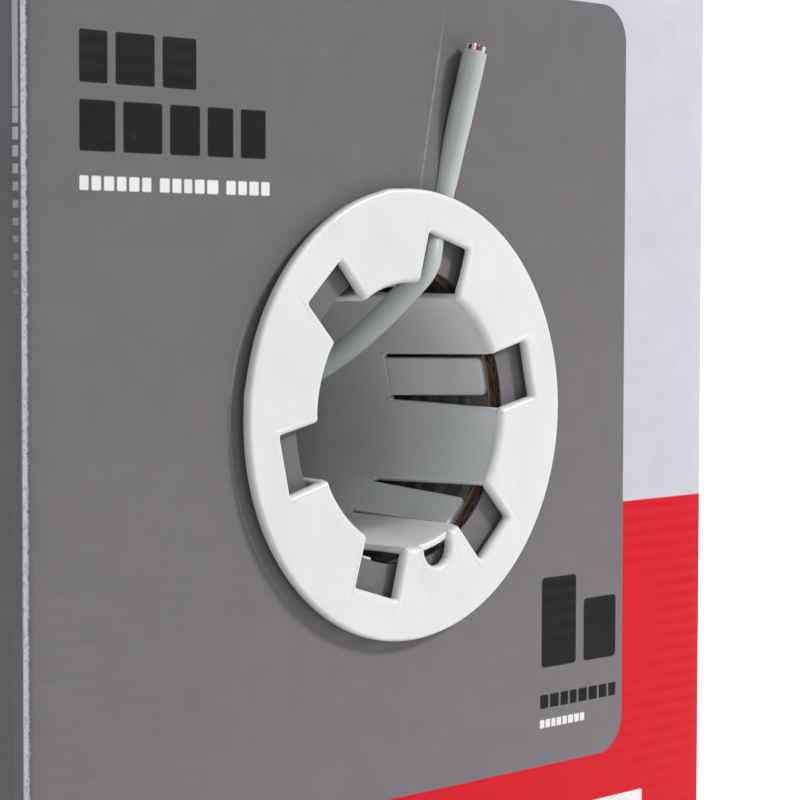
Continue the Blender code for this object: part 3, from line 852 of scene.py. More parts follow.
def bead(centre, sizes, spin):
    """An ellipsoid: sizes (a, b, c) along the radius, across and into the box."""
    up = np.radians(np.linspace(-88, 88, 9))[:, None]
    round_it = np.linspace(0, 2 * math.pi, 14, endpoint=False)[None, :]
    out, across = polar(1.0, spin), polar(1.0, spin + math.pi / 2)
    a, b = sizes[0] * np.cos(up) * np.cos(round_it), sizes[1] * np.cos(up) * np.sin(round_it)
    c = sizes[2] * np.sin(up) + 0 * round_it
    flat = a[..., None] * out + b[..., None] * across
    return into_box(centre[0] + flat[..., 0], centre[1] + flat[..., 1], centre[2] + c)


def slit_beads():
    """A small bead of plastic at the end of each slit, where the mould's blades met."""
    beads = []
    for index in range(FINGER_COUNT):
        for side in (-1, 1):
            spin = finger_angle(index) + side * SLOT_ROOT_WIDTH / 2 / WALL_MIDDLE
            place = polar(BORE_RADIUS + 0.00035, spin)
            beads.append(shell(bead((*place, SLOT_END + 0.0001), BEAD_SIZES, spin)))
    return beads


barrel = shell(barrel_rings(), wrap_rows=True)
add_piece("payout_tube_moulding", [flange, barrel] + slit_beads(), [WHITE_PLASTIC], sharp=55,
          rides="payout_tube", stands_for=["payout_tube"])

# %% [markdown]
# ## Snap fingers
#
# A finger is a tongue of the barrel's wall that leans outwards and catches behind the board.
# Its section is a rounded strip, bent to the barrel's curve, carried from a round knuckle at
# its hinge to a tip with rounded corners.

# %% Fingers
FINGER_FLARE = math.radians(6.5)
FINGER_ROOT = SLOT_END - 0.0005
FINGER_TIP = BOARD + 0.0003
FINGER_HALF_WIDTH = SLOT_ROOT_WIDTH / 2 - 0.00100
TIP_NARROWING = 0.0001
TIP_CORNER = 0.0010
KNUCKLE = 0.0008
HOOK_LENGTH = 0.0050                          # the tip thickens outwards into a small hook
HOOK_HEIGHT = 0.0007


def finger_rings(angle):
    """A rounded strip (w, t) at each station s: w scaled by the plan, t by the tip and the hook."""
    length = (FINGER_ROOT - FINGER_TIP) / math.cos(FINGER_FLARE)
    half_wall = BARREL_WALL / 2
    corners = np.array([(-1, -1), (1, -1), (1, 1), (-1, 1)]) * [FINGER_HALF_WIDTH, half_wall]
    outline = rounded_path(corners, np.full(4, 0.00042), 0.00028)
    turn = np.radians(np.linspace(4, 90, 8))
    knuckle = -KNUCKLE * np.sin(turn[::-1])
    body = np.linspace(0.0002, length - TIP_CORNER, 14)
    tip = length - TIP_CORNER + TIP_CORNER * np.sin(np.radians(np.linspace(8, 89, 10)))
    s = np.concatenate([knuckle, body, tip])[:, None]
    thick = np.ones_like(s)
    thick[:8, 0] = np.cos(turn[::-1]) * 0.99 + 0.01
    rest = np.clip((s - (length - 0.0004)) / 0.0004, 0, 1)
    thick = thick * (0.25 + 0.75 * np.sqrt(1 - rest ** 2))
    plan = np.clip((s - (length - TIP_CORNER)) / TIP_CORNER, 0, 1)
    wide = FINGER_HALF_WIDTH - TIP_NARROWING * s / length
    wide = (wide - TIP_CORNER * (1 - np.sqrt(1 - plan ** 2))) / FINGER_HALF_WIDTH
    w, t = outline[None, :, 0] * wide, outline[None, :, 1] * thick
    hook = np.clip((s - (length - HOOK_LENGTH)) / HOOK_LENGTH, 0, 1)
    t = t + np.where(t > 0, HOOK_HEIGHT * hook * hook * (3 - 2 * hook) * thick, 0)
    rise = np.sqrt(WALL_MIDDLE ** 2 - w ** 2) - WALL_MIDDLE
    out = WALL_MIDDLE + s * math.sin(FINGER_FLARE) + (t + rise) * math.cos(FINGER_FLARE)
    depth = FINGER_ROOT - s * math.cos(FINGER_FLARE) + (t + rise) * math.sin(FINGER_FLARE)
    radial, around = polar(1.0, angle), polar(1.0, angle + math.pi / 2)
    return into_box(out * radial[0] + w * around[0], out * radial[1] + w * around[1], depth)


for number in range(1, FINGER_COUNT + 1):
    add_piece(f"finger_tongue_{number}", [shell(finger_rings(finger_angle(number - 1)))],
              [WHITE_PLASTIC], sharp=55, rides=f"finger_{number}",
              stands_for=[f"snap_finger_{number}"])

# %% [markdown]
# ## Printed board
#
# The carton's outside is a laminated print: a grey panel with rounded corners that runs round
# onto the left wall, a pale field and a red field beside it.  Words are replaced by plain bars.
# The masks are rectangles in metres from the payout axis, and the film over the flutes shows
# faint level ripples.  Folds are worn to the white of the paper.  Pale paper colour on the face
# also paints light: the cracked film beside the left fold carries a painted highlight of the
# crushed crease, and painted reflections of the flange's rim and of the cable lie in the film.

# %% Finish: laminated print
GREY_LOW, GREY_HIGH = (0.122, 0.115, 0.122), (0.165, 0.156, 0.165)
PALE = (0.475, 0.48, 0.53)
YELLOWED = (0.475, 0.4704, 0.4929)            # the pale paper where it has aged
RED = (0.54, 0.001, 0.010)
INK = (0.004, 0.004, 0.004)
WHITE_INK = (0.72, 0.72, 0.74)
PAPER = (0.70, 0.71, 0.76)
PANEL_RIGHT, PANEL_TOP, PANEL_BOTTOM, PANEL_CORNER = 0.0700, 0.0886, -0.0790, 0.0082
FIELD_SPLIT = -0.0226                         # the level where pale meets red
SOFT = 0.00022                                # softness of a printed edge
FLUTE_PITCH = 0.0031


# Each row of bars: left, base, height, widths (0 leaves a wider gap), gap and corner.
FRONT_BLACK = (
    (-0.0877, 0.0631, 0.0095, (0.0066, 0.0094, 0.0084), 0.0019, 0.0005),
    (-0.0877, 0.0508, 0.0093, (0.0084, 0.0094, 0.0075, 0.0066, 0.0066), 0.0019, 0.0005),
    (0.0417, -0.0574, 0.0198, (0.0118,), 0.0020, 0.0010),
    (0.0562, -0.0574, 0.0140, (0.0114,), 0.0020, 0.0010),
    (0.0413, -0.0664, 0.0030, (0.0028, 0.0030, 0.0026, 0.0024, 0.0030, 0.0030, 0.0028, 0.0026),
     0.0006, 0.0002),
)
FRONT_WHITE = (
    (-0.0877, 0.0438, 0.0026, (0.0021, 0.0022, 0.0024, 0.0022, 0.0024, 0.0022, 0, 0.0024, 0.0022,
                               0.0020, 0.0024, 0.0028, 0, 0.0024, 0.0022, 0.0024, 0.0022),
     0.0007, 0.0003),
    (0.0413, -0.0707, 0.0018, (0.0015, 0.0016, 0.0014, 0.0016, 0.0015, 0.0018, 0.0016, 0.0015),
     0.0004, 0.0002),
    (0.0517, -0.0925, 0.0032, (0.0260,), 0.0010, 0.0004),
)
SIDE_BLACK = (
    (-0.10, 0.050, 0.014, (0.010, 0.014, 0.012, 0, 0.012, 0.014, 0.011, 0.010), 0.003, 0.0008),
    (-0.10, 0.036, 0.004, (0.05, 0.03, 0.02), 0.003, 0.0006),
)


def bars(made, along, up, rows):
    """Rows of plain rounded bars, each standing on its own line, as one mask."""
    mask = None
    for start, base, height, widths, gap, corner in rows:
        for width in widths:
            if width > 0:
                bar = made.rounded_box(along, up, (start, base), (start + width, base + height),
                                       corner, SOFT)
                mask = bar if mask is None else mask.math('MAXIMUM', bar)
            start += (width or gap) + gap
    return mask


def grey_panel(made, along, up, field, right, grey):
    """The grey panel, laid over the fields up to its right edge."""
    low, high = (-0.30, PANEL_BOTTOM), (right, PANEL_TOP)
    return made.mix(made.rounded_box(along, up, low, high, PANEL_CORNER, SOFT), field, grey)


def front_print(made, along, up):
    """The payout face: panel, fields and the bars that stand where words were, the panel's grey
    painted darker towards the top as painted shading.
    """
    colour = made.mix(made.step(up, FIELD_SPLIT, SOFT), RED, PALE)
    # Painted shading: the grey panel is painted lighter low on the face and darker high on it, for
    # the way light falls across the face; on the walls the same grey has noise only.
    tone = made.noise(30.0, 2.0) * 0.25 + made.step(up, 0.0, 0.17) * -0.75 + 0.75
    grey = made.mix(tone.clamped(), GREY_LOW, GREY_HIGH)
    colour = grey_panel(made, along, up, colour, PANEL_RIGHT, grey)
    colour = made.mix(bars(made, along, up, FRONT_BLACK), colour, INK)
    return made.mix(bars(made, along, up, FRONT_WHITE) * 0.94, colour, WHITE_INK)


def side_print(made, along, up, panel_end):
    """A long wall: pale above red, the grey panel carried over the fold, two rows of plain bars."""
    tone = made.noise(30.0, 2.0)
    field = made.mix(made.step(up, FIELD_SPLIT, SOFT), RED, PALE)
    field = grey_panel(made, along, up, field, panel_end, made.mix(tone, GREY_LOW, GREY_HIGH))
    return made.mix(bars(made, along, up, SIDE_BLACK), field, INK)


def printed(name, colour_of, wear_and_painted_light_masks=None):
    """Film over ink over paper: colour, grain, rubbed folds with, where a mask is given, painted
    highlights and reflections, and ripples from the flutes.
    """
    made = Finish(name, IOR=1.24)
    up = made.z - float(HOLE[2])
    colour = colour_of(made, up)
    speck = made.noise(1400.0, 3.0, 0.7)
    cloud = made.noise(140.0, 4.0)
    colour = made.shade(colour, speck * 0.16 + cloud * 0.16 + 0.84)
    rubbed = made.band(made.noise(900.0, 4.0, 0.75), 0.72, 0.9, 0.05)
    colour = made.mix(rubbed * 0.14, colour, PAPER)
    scratched = made.band(made.grain((700.0, 700.0, 26.0)), 0.70, 0.80, 0.03)
    rough = 0.36 + cloud * 0.16 + speck * 0.06 + scratched * 0.12
    if wear_and_painted_light_masks:
        # The mask holds worn folds and painted light: a highlight beside the left fold and
        # reflections of the rim and the cable, all painted as pale paper.
        worn = wear_and_painted_light_masks(made)
        colour = made.mix(worn, colour, PAPER)
        rough = rough + worn * 0.25
    waves = (up * (2 * math.pi / FLUTE_PITCH) + made.noise(25.0, 1.0) * 2.2).sine()
    patch = made.band(made.noise(22.0, 2.0), 0.46, 1.2, 0.16)
    low = made.band(up, -0.085, -0.018, 0.035)
    depth = patch * (0.18 + low * 0.82)
    normal = made.bump(waves * depth, 0.00006)
    normal = made.bump(made.noise(260.0, 2.0), 0.00003, over=normal)
    normal = made.bump(speck, 0.000012, over=normal)
    return made.wire(Base_Color=colour, Roughness=rough, Normal=normal)


def crease_cracks_and_highlight(made, up, slow):
    """Cracked film beside the fold, painted pale also as the crushed crease's highlight: unbroken
    high up, then one dash to a flute, then nothing.
    """
    wave = (up * (2 * math.pi / FLUTE_PITCH)).sine() * 0.5 + 0.5
    unbroken = made.step(up, 0.060, 0.050) * 1.5
    return ((wave + unbroken - 0.85 + slow * 0.3) / 0.08).clamped() * made.step(up, 0.036, 0.030)


RIM_REFLECTION_INNER, RIM_REFLECTION_OUTER = 0.04805, 0.04832       # a painted reflection of the flange's rim in the glossy film, an arc just outside the flange


def front_wear_and_painted_light(made):
    """Folds rubbed white, cracked dashes beside the left one that also paint the crease's
    highlight, and painted reflections of the flange's rim and of the cable.
    """
    up = made.z - float(HOLE[2])
    ragged = made.noise(1100.0, 4.0, 0.75)
    slow = made.noise(60.0, 2.0)
    left = made.band(made.x + ragged * 0.0011, -0.5, -HALF_WIDTH + 0.00115, 0.0003)
    deep = made.band(made.y, FACE_Y - 0.001, FACE_Y + 0.0012, 0.0004)
    left = left * deep * (0.55 + made.step(ragged, 0.46, 0.10) * 0.45 + slow * 0.2)
    right = made.band(made.x - ragged * 0.0009, HALF_WIDTH - 0.0012, 0.5, 0.0003) * deep * 0.5
    across = made.x - float(HOLE[0])
    radius = (across * across + up * up).math('SQRT')
    # Painted reflection: the flange's rim mirrored in the glossy film as a faint pale arc at its
    # left.
    arc = made.band(radius, RIM_REFLECTION_INNER, RIM_REFLECTION_OUTER, 0.00025) \
        * made.band(across, -0.06, -0.030, 0.006) * made.band(up, -0.030, 0.020, 0.02)
    # Painted reflection: the cable mirrored in the glossy film as a faint pale line at its left.
    cable_reflection = made.band(across - up * 0.20, -0.0045, -0.0040, 0.0003) \
        * made.band(up, 0.045, 0.080, 0.01)
    # Cracked film beside the left fold, painted pale also as the crushed crease's highlight.
    beside = made.band(made.y + ragged * 0.0004, FACE_Y + 0.0021, FACE_Y + 0.0037, 0.0002) \
        * made.step(made.x * -1.0, HALF_WIDTH - 0.0002, 0.0001) * crease_cracks_and_highlight(made, up, slow)
    # Both painted reflections, faint and broken up.
    faint = (arc + cable_reflection) * 0.16 * made.step(ragged, 0.44, 0.1)
    return (left + right + beside * 0.55 + faint).clamped()


PANEL_ON_LEFT = 0.10                          # how far along the left wall the panel runs
NO_PANEL = -0.25                              # an end outside the wall: no panel there
PRINT_FRONT = printed("printed_front", lambda made, up: front_print(made, made.x, up), front_wear_and_painted_light)
PRINT_LEFT = printed("printed_left",
                     lambda made, up: side_print(made, made.y, up, PANEL_ON_LEFT))
PRINT_RIGHT = printed("printed_right", lambda made, up: side_print(made, made.y, up, NO_PANEL))
PRINT_BACK = printed("printed_back",
                     lambda made, up: side_print(made, made.x * -1.0 + 0.04, up, NO_PANEL))


def top_print(made, _up):
    """The flaps that close the box: pale, a little yellowed in soft patches."""
    return made.mix(made.noise(9.0, 3.0), PALE, YELLOWED)


PRINT_TOP = printed("printed_flaps", top_print)

# %% [markdown]
# ## Brown board
#
# Inside, the liners and flutes are kraft paper: brown, dull, and streaked by long fibres.

# %% Finish: kraft paper
def kraft(name, light, dark):
    """Kraft paper with long fibres and darker flecks."""
    made = Finish(name)
    fibres = made.grain((260.0, 260.0, 1500.0), 5.0, 0.65)
    flecks = made.band(made.noise(1900.0, 2.0), 0.64, 0.9, 0.04)
    colour = made.mix(fibres, dark, light)
    colour = made.mix(flecks * 0.5, colour, tuple(v * 0.45 for v in dark))
    bump = made.bump(fibres, 0.00005)
    return made.wire(Base_Color=colour, Roughness=0.78 + fibres * 0.15, Normal=bump)


KRAFT = kraft("kraft_board", (0.36, 0.245, 0.15), (0.23, 0.145, 0.085))
# The cut edge in the hole is painted much darker than the board, a painted shade for the edge under
# the flange.
KRAFT_EDGE_PAINTED_SHADE = kraft("kraft_cut_edge_painted_shade", (0.15, 0.098, 0.060), (0.060, 0.036, 0.020))

# %% [markdown]
# ## The payout face
#
# The face's liner is a sheet drawn on rays from the hole to the panel's outline, folded round
# the two upright corners, and doubled back 0.35 mm behind itself.  Where the parked cable
# crosses it, the sheet is pressed in to clear the cable.

# %% Front liner, pressed in by the cable
LINER = 0.00035
HOLE_RADIUS = BARREL_OUTER + 0.0022
FOLD_RADIUS = 0.0016
FOLD_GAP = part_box("carton_left_panel")[0].y - FACE_HIGH.y - 0.00002
CABLE_CLEARANCE = 0.0003
FACE_RAYS = 720
PRESS_LOW, PRESS_HIGH = 0.024, 0.064          # heights above the axis where the cable presses
PANEL_LOW, PANEL_HIGH = FACE_LOW.z, FACE_HIGH.z


def pressed(x, z):
    """How deep the cable presses: the largest y + sqrt(R2 - d2) over the cable's points, or 0."""
    height = tail[:, 2] - HOLE[2]
    near = tail[(height > PRESS_LOW) & (height < PRESS_HIGH)][::3]
    reach = JACKET_RADIUS + CABLE_CLEARANCE
    away = (x[..., None] - near[:, 0]) ** 2 + (z[..., None] - near[:, 2]) ** 2
    depth = near[:, 1] - FACE_Y + np.sqrt(np.clip(reach ** 2 - away, 0, None))
    depth = np.where(away < reach ** 2, depth, 0.0).max(axis=-1)
    return np.clip(depth, 0, None)


def ray_angles(count):
    """Even angles, with the panel's four corners among them."""
    angles = np.linspace(-math.pi, math.pi, count, endpoint=False)
    across = HALF_WIDTH - FOLD_RADIUS
    for x in (across, -across):
        for z in (PANEL_HIGH, PANEL_LOW):
            corner = math.atan2(z - HOLE[2], x - HOLE[0])
            angles[np.argmin(np.abs(angles - corner))] = corner
    return angles


def to_outline(angles, inset):
    """Distance along each ray from the hole to the panel's outline, less an inset."""
    across = HALF_WIDTH - FOLD_RADIUS
    cos, sin = np.cos(angles), np.sin(angles)
    side_gap = np.where(cos > 0, across - HOLE[0], across + HOLE[0])
    end_gap = np.where(sin > 0, PANEL_HIGH - inset - HOLE[2], HOLE[2] - PANEL_LOW - inset)
    to_side = side_gap / np.maximum(np.abs(cos), 1e-9)
    to_end = end_gap / np.maximum(np.abs(sin), 1e-9)
    return np.minimum(to_side, to_end), to_side <= to_end


def liner_rings(depth, inset):
    """Rings from the hole to the outline at a depth, then round the upright folds."""
    angles = ray_angles(FACE_RAYS)
    outline, at_side = to_outline(angles, inset)
    shares = np.concatenate([np.linspace(0, 0.2, 34), np.linspace(0.2, 1.0, 16)[1:]])
    radius = HOLE_RADIUS + (outline - HOLE_RADIUS) * shares[:, None]
    x = HOLE[0] + radius * np.cos(angles)
    z = HOLE[2] + radius * np.sin(angles)
    y = FACE_Y + depth + pressed(x, z)
    rings = [np.stack([x, y, z], axis=-1)]
    side = np.where(at_side, np.sign(np.cos(angles)), 0.0)
    for turn in np.radians([22.5, 45, 67.5, 90]):
        out = (FOLD_RADIUS - depth) * math.sin(turn)
        back = FOLD_RADIUS - (FOLD_RADIUS - depth) * math.cos(turn)
        ring_x = x[-1] + side * out
        ring_y = np.where(side == 0, FACE_Y + depth + 0.0001 * turn, FACE_Y + back)
        rings.append(np.stack([ring_x, ring_y, z[-1]], axis=-1)[None])
    ring_y = np.where(side == 0, FACE_Y + depth + 0.0002, FACE_Y + BOARD + FOLD_GAP)
    rings.append(np.stack([x[-1] + side * (FOLD_RADIUS - depth), ring_y, z[-1]], axis=-1)[None])
    return np.vstack(rings)


front_skin = np.vstack([liner_rings(0.0, 0.0), liner_rings(LINER, 0.00005)[::-1]])
front_liner = shell(front_skin, wrap_rows=True)

# %% [markdown]
# Behind the liner lie two layers of flutes with a liner between them.  Only their cut edge
# shows, in the hole, so they are short collars of a sine wave.

# %% Flutes seen in the punched edge
def collar(middle, amplitude, pitch, thick, width=0.0035, inner=HOLE_RADIUS + 0.0001):
    """A fluted collar: y = middle + A sin(2 pi z / pitch), doubled by its thickness."""
    angles = np.linspace(-math.pi, math.pi, 1500, endpoint=False)
    rings = []
    for radius, side in ((inner, -1), (inner + width, -1), (inner + width, 1), (inner, 1)):
        x, z = HOLE[0] + radius * np.cos(angles), HOLE[2] + radius * np.sin(angles)
        wave = amplitude * np.sin(2 * math.pi * z / pitch + 0.7)
        slope = amplitude * 2 * math.pi / pitch * np.cos(2 * math.pi * z / pitch + 0.7)
        y = middle + wave + side * thick / 2 * np.sqrt(1 + slope ** 2)
        y = np.maximum(y, pressed(x, z) + LINER + (0.00008 if side < 0 else 0.0003))
        rings.append(np.stack([x, FACE_Y + y, z], axis=-1))
    return shell(np.stack(rings), wrap_rows=True)


def inner_liner_rings():
    """The inner liner: a flat sheet from the hole to just inside the outline."""
    angles = ray_angles(240)
    outline, _ = to_outline(angles, 0.0001)
    shares = np.array([0, 0.04, 0.1, 0.3, 1.0])
    rings = []
    for depth, order in ((BOARD - LINER, shares), (BOARD, shares[::-1])):
        radius = HOLE_RADIUS + 0.0001 + (outline - HOLE_RADIUS) * order[:, None]
        x, z = HOLE[0] + radius * np.cos(angles), HOLE[2] + radius * np.sin(angles)
        rings.append(np.stack([x, np.full_like(x, FACE_Y + depth), z], axis=-1))
    return np.vstack(rings)


def block_shell(low, high):
    """A plain slab between two corners."""
    x = np.array([low[0], high[0], high[0], low[0]])
    z = np.array([low[2], low[2], high[2], high[2]])
    return shell(np.stack([np.stack([x, np.full(4, y), z], axis=-1) for y in (low[1], high[1])]))


def edge_cores(low, high, inset):
    """Two strips that close the top and bottom cut edges of a wall, a little recessed."""
    strips = []
    for near, far in ((low[2] + 0.0004, low[2] + 0.0016), (high[2] - 0.0016, high[2] - 0.0004)):
        strips.append(block_shell((low[0] + inset, low[1] + LINER, near),
                                  (high[0] - inset, high[1] - LINER, far)))
    return strips


collars = [collar(0.00105, 0.00050, 0.0033, 0.00020),
           collar(0.00190, 0.00003, 0.02, 0.00022),
           collar(0.00272, 0.00056, 0.0064, 0.00020)]
add_piece("front_board", [front_liner, shell(inner_liner_rings(), wrap_rows=True)] + collars
          + edge_cores(FACE_LOW, FACE_HIGH, 0.0020),
          [PRINT_FRONT, KRAFT, KRAFT_EDGE_PAINTED_SHADE], picks=[0, 1, 2, 2, 2, 1, 1], sharp=40,
          stands_for=["carton_front_panel"])

# %% [markdown]
# ## The other walls and the flaps
#
# Every other board is two liners with two layers of flutes between.  A fluted sheet is a sine
# wave drawn along its flutes, so its cut ends show the wave.  The outside liner may wrap one
# or both of its edges, where the board folds.

# %% Boards with real flutes
MEDIUM = 0.00020                              # thickness of the fluted paper
FLUTES = ((0.28, 0.13, 0.0033), (0.68, 0.16, 0.0064))       # depth and height as shares, pitch


def mapped(a, b, c, axes):
    """Points from coordinates along three named axes, such as 'zxy'."""
    spots = dict(zip(axes, np.broadcast_arrays(a, b, c)))
    return np.stack([spots['x'], spots['y'], spots['z']], axis=-1)


def limits(low, high, axes):
    """The lower and upper limit of a box along three named axes."""
    return [(low['xyz'.index(axis)], high['xyz'.index(axis)]) for axis in axes]


def fluted_sheet(low, high, axes, share, amplitude_share, pitch):
    """Wave across axis 1, flutes along axis 2, thickness along axis 3.

    The third coordinate is c = middle + A sin(2 pi a / pitch).
    """
    (a0, a1), (b0, b1), (c0, c1) = limits(low, high, axes)
    a = np.linspace(a0 + 0.0002, a1 - 0.0002, max(8, int((a1 - a0) / pitch * 9)))[:, None]
    middle, amplitude = c0 + (c1 - c0) * share, (c1 - c0) * amplitude_share
    wave = amplitude * np.sin(2 * math.pi * a / pitch)
    slope = amplitude * 2 * math.pi / pitch * np.cos(2 * math.pi * a / pitch)
    half = MEDIUM / 2 * np.sqrt(1 + slope ** 2)
    b = np.array([[b0 + 0.0001, b1 - 0.0001, b1 - 0.0001, b0 + 0.0001]])
    c = middle + wave + half * np.array([[-1, -1, 1, 1]])
    return shell(mapped(a, b, c, axes))


def bent_liner(low, high, axes, outside, bends):
    """An outer liner: flat across axis 1, with a quarter round at the ends named in bends."""
    (a0, a1), (b0, b1), (c0, c1) = limits(low, high, axes)
    flat, inner = (c1, c0) if outside > 0 else (c0, c1)
    turn = np.radians(np.linspace(0, 90, 6))
    path = []
    for end, sign, bent in ((a0, -1, bends[0]), (a1, 1, bends[1])):
        if bent:
            corner = np.stack([end - sign * FOLD_RADIUS + sign * FOLD_RADIUS * np.sin(turn),
                               flat - outside * FOLD_RADIUS * (1 - np.cos(turn))], axis=1)
            part = np.vstack([corner, [[end, inner - outside * FOLD_GAP]]])
        else:
            part = np.array([[end, flat]])
        path.append(part[::-1] if sign < 0 else part)
    line = np.vstack(path)
    ahead = unit(np.gradient(line, axis=0))
    into = np.stack([-ahead[:, 1], ahead[:, 0]], axis=1) * -outside
    back = line + into * LINER
    loop = np.vstack([line, back[::-1]])
    a, c = loop[None, :, 0], loop[None, :, 1]
    return shell(mapped(a, np.array([[b0], [b1]]), c, axes))


def add_board(node, axes, outside, finish, bends=(False, False), wave=None, rides="carton"):
    """A board in the place of one node: outer liner, inner liner, and two fluted sheets between."""
    low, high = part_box(node)
    third = 'xyz'.index(axes[2])
    inner_low, inner_high = low.copy(), high.copy()
    if outside > 0:
        inner_high[third] = low[third] + LINER
    else:
        inner_low[third] = high[third] - LINER
    shells = [bent_liner(low, high, axes, outside, bends), block_shell(inner_low, inner_high)]
    for share, height, pitch in FLUTES:
        from_low = 1 - share if outside > 0 else share
        shells.append(fluted_sheet(low, high, wave or axes, from_low, height, pitch))
    return add_piece(node.replace("carton_", "").replace("panel", "board") + "_of_liners", shells,
                     [finish, KRAFT], picks=[0, 1, 1, 1], sharp=35,
                     rides=rides, stands_for=[node])

# %% Back, side walls and flaps
add_board("carton_back_panel", "xzy", 1, PRINT_BACK, bends=(True, True), wave="zxy")
add_board("carton_left_panel", "zyx", -1, PRINT_LEFT)
add_board("carton_right_panel", "zyx", 1, PRINT_RIGHT)
add_board("top_major_flap_left", "xyz", 1, PRINT_TOP, bends=(True, False), rides="top_flap_left")
add_board("top_major_flap_right", "xyz", 1, PRINT_TOP, bends=(False, True), rides="top_flap_right")
add_board("bottom_major_flap_left", "xyz", -1, PRINT_TOP, bends=(True, False))
add_board("bottom_major_flap_right", "xyz", -1, PRINT_TOP, bends=(False, True))
for end, outside in (("top", 1), ("bottom", -1)):
    for place in ("front", "back"):
        add_board(f"{end}_minor_flap_{place}", "yxz", outside, PRINT_TOP)


def refinish(node, finish):
    """A node of the model keeps its shape and takes another finish."""
    for slot in bpy.data.objects[node].material_slots:
        slot.material = finish


refinish("carton_glue_tab", KRAFT)

# %% [markdown]
# ## The winding
#
# Inside, the cable is wound on no spool: each layer crosses the last, and the tube reaches
# through a hole left in the turns.  The model's solid keeps its shape.  Its finish
# lays two families of strands over it, one leaning each way, from the distance across a strand.

# %% Finish: wound cable
WIND_LOW, WIND_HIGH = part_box("cable_winding")
WIND_MIDDLE_Y = (WIND_LOW.y + WIND_HIGH.y) / 2
WIND_MIDDLE_Z = (WIND_LOW.z + WIND_HIGH.z) / 2
WIND_RADIUS = (WIND_HIGH.z - WIND_LOW.z) / 2
STRAND_PITCH = 0.0056
STRAND_DEPTH = 0.0016
STRAND_LEAN = math.radians(30)
STRAND_COUNT = round(2 * math.pi * WIND_RADIUS * math.sin(STRAND_LEAN) / STRAND_PITCH)


def wound_cable():
    """Strands: height sqrt(1 - q2), q the place across a strand, each way by turns, painted near
    black in the grooves between them as painted shade.
    """
    made = Finish("wound_cable", IOR=1.5)
    y, z = made.y - WIND_MIDDLE_Y, made.z - WIND_MIDDLE_Z
    angle = z.math('ARCTAN2', y)
    across = made.x * (math.cos(STRAND_LEAN) / STRAND_PITCH)
    along = angle * (STRAND_COUNT / (2 * math.pi))
    depth = (y * y + z * z).math('SQRT') * (1 / STRAND_PITCH)

    def strand(count):
        q = count.math('FRACT') * 2.0 - 1.0
        return (1.0 - q * q).math('MAXIMUM', 0.0).math('SQRT'), count.math('FLOOR')

    one, one_count = strand(across + along)
    two, two_count = strand(across - along)
    end, end_count = strand(depth)
    over = made.step((one_count * 0.7).sine() + (two_count * 0.9).sine(), 0.0, 0.1)
    height = over * one + (1.0 - over) * two
    at_end = made.step(abs(made.x), WIND_HIGH.x - 0.0004, 0.0002)
    height = at_end * end + (1.0 - at_end) * height
    shade = made.noise(90.0, 2.0)
    colour = made.mix(shade, (0.34, 0.365, 0.355), (0.46, 0.49, 0.475))
    # Painted shade: the colour goes near black where a strand runs low, the shade in the grooves
    # between strands.
    colour = made.mix((1.0 - height) * (1.0 - height) * 0.95, colour, (0.035, 0.036, 0.036))
    bump = made.bump(height, STRAND_DEPTH)
    return made.wire(Base_Color=colour, Roughness=0.38 + shade * 0.15, Normal=bump)


refinish("cable_winding", wound_cable())
print("strands leaning each way:", STRAND_COUNT)

# %% [markdown]
# The turns part around the payout hole, so its wall is a stack of round strands.  Through
# the tube's slots they show as ridges in the shade.  Each is a torus, half sunk in the winding.
# Their jacket is painted darker than the cable's, a painted shade for the narrow gap round the
# barrel.

# %% Turns round the payout hole
TURN_RADIUS = 0.0361
FIRST_TURN = 0.0135                           # depth of the first turn behind the face
UNTURNED = 0.26                               # the winding's far part, where no turns are seen
TURN_DEPTHS = np.arange(FIRST_TURN, WIND_HIGH.y - FACE_Y - UNTURNED, STRAND_PITCH)


def torus(radius, tube, depth, phase):
    """Rings of radius `tube` round a circle, its depth swaying a little with the angle."""
    around = np.linspace(0, 2 * math.pi, 72, endpoint=False)[:, None]
    about = np.linspace(0, 2 * math.pi, 14, endpoint=False)[None, :]
    sway = 0.0009 * np.sin(2 * around + phase) + 0.0004 * np.sin(5 * around + 2 * phase)
    reach = radius + 0.0003 * np.sin(3 * around + phase) + tube * np.cos(about)
    return into_box(reach * np.cos(around), reach * np.sin(around),
                    depth + sway + tube * np.sin(about))


turns = [shell(torus(TURN_RADIUS, CABLE_DIAMETER / 2, depth, 1.7 * k), wrap_rows=True)
         for k, depth in enumerate(TURN_DEPTHS)]
add_piece("payout_hole_turns", turns, [TURNS_JACKET_PAINTED_SHADE], sharp=60)

# %% [markdown]
# ## Floor and light
#
# A pale floor turns up into a wall behind the box, square to the camera.  One small bright lamp
# stands high at the right, so shadows fall to the left of the cable and the flange.  A broad
# weak one fills from the left, one lights the backdrop, and a bright surround does the rest.

# %% Floor
SWEEP_START, SWEEP_RADIUS = 1.6, 0.7          # where the floor turns up behind the box
FLOOR_FRONT, WALL_HEIGHT = 4.0, 4.0


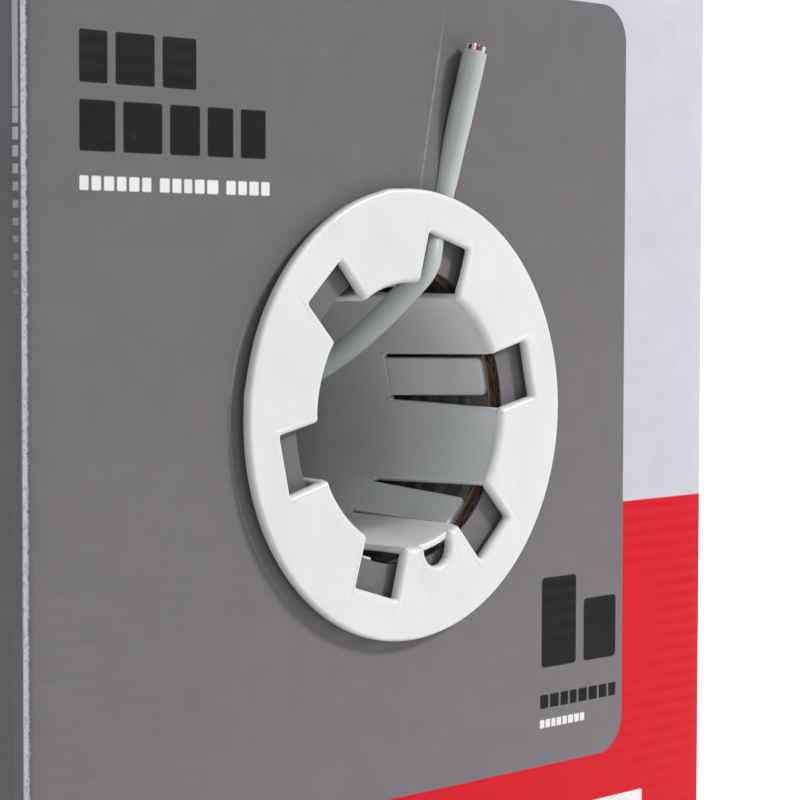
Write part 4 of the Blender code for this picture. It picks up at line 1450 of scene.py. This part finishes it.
def sweep_profile(count):
    """Floor, quarter circle and wall: (distance behind the box, height)."""
    turn = np.radians(np.linspace(0, 90, count))
    curve = np.stack([SWEEP_START + SWEEP_RADIUS * np.sin(turn),
                      SWEEP_RADIUS - SWEEP_RADIUS * np.cos(turn)], axis=1)
    return np.vstack([[[-FLOOR_FRONT, 0.0], [0.0, 0.0]], curve,
                      [[SWEEP_START + SWEEP_RADIUS, WALL_HEIGHT]]])


def add_floor():
    """The profile carried sideways, square to the view."""
    profile = sweep_profile(16)
    ahead = np.array([math.sin(VIEW_YAW), math.cos(VIEW_YAW)])
    side = np.array([ahead[1], -ahead[0]])
    wide = np.linspace(-5, 5, 3)
    flat = profile[:, None, :1] * ahead + wide[None, :, None] * side
    height = np.broadcast_to(profile[:, None, 1:], flat.shape[:2] + (1,))
    points = np.concatenate([flat, height], axis=-1)
    faces = grid_faces(len(profile), 3, False).reshape(len(profile) - 1, 3, 4)[:, :2].reshape(-1, 4)
    mesh = bpy.data.meshes.new("studio_floor")
    mesh.from_pydata(points.reshape(-1, 3).tolist(), [], faces.tolist())
    mesh.shade_smooth()
    made = Finish("studio_floor")
    cloud = made.noise(3.0, 4.0)
    colour = made.mix(cloud, (0.80, 0.80, 0.81), (0.84, 0.84, 0.845))
    mesh.materials.append(made.wire(Base_Color=colour, Roughness=0.75 + cloud * 0.1))
    add_object("studio_floor", mesh)


add_floor()

# %% Light
def add_lamp(name, place, target, size, power, colour):
    """A square soft lamp at a place, aimed at a target."""
    data = bpy.data.lights.new(name, 'AREA')
    data.size, data.energy, data.color = size, power, colour
    lamp = add_object(name, data)
    lamp.location = place
    lamp.rotation_mode = 'QUATERNION'
    lamp.rotation_quaternion = (Vector(target) - Vector(place)).to_track_quat('-Z', 'Y')


add_lamp("key", (0.75, -1.05, 0.95), HOLE, 0.24, 16.5, (1.0, 0.99, 0.98))
add_lamp("backdrop", (0.9, 0.9, 1.5), (1.6, 1.3, 0.2), 1.0, 60.0, (1.0, 1.0, 1.0))
add_lamp("fill", (-1.3, -0.4, 0.5), HOLE, 1.2, 4.0, (0.97, 0.98, 1.0))
world = bpy.data.worlds.new("bright_surround")
world.use_nodes = True
world.node_tree.nodes["Background"].inputs["Color"].default_value = (0.97, 0.98, 1.0, 1.0)
world.node_tree.nodes["Background"].inputs["Strength"].default_value = 0.44
bpy.context.scene.world = world
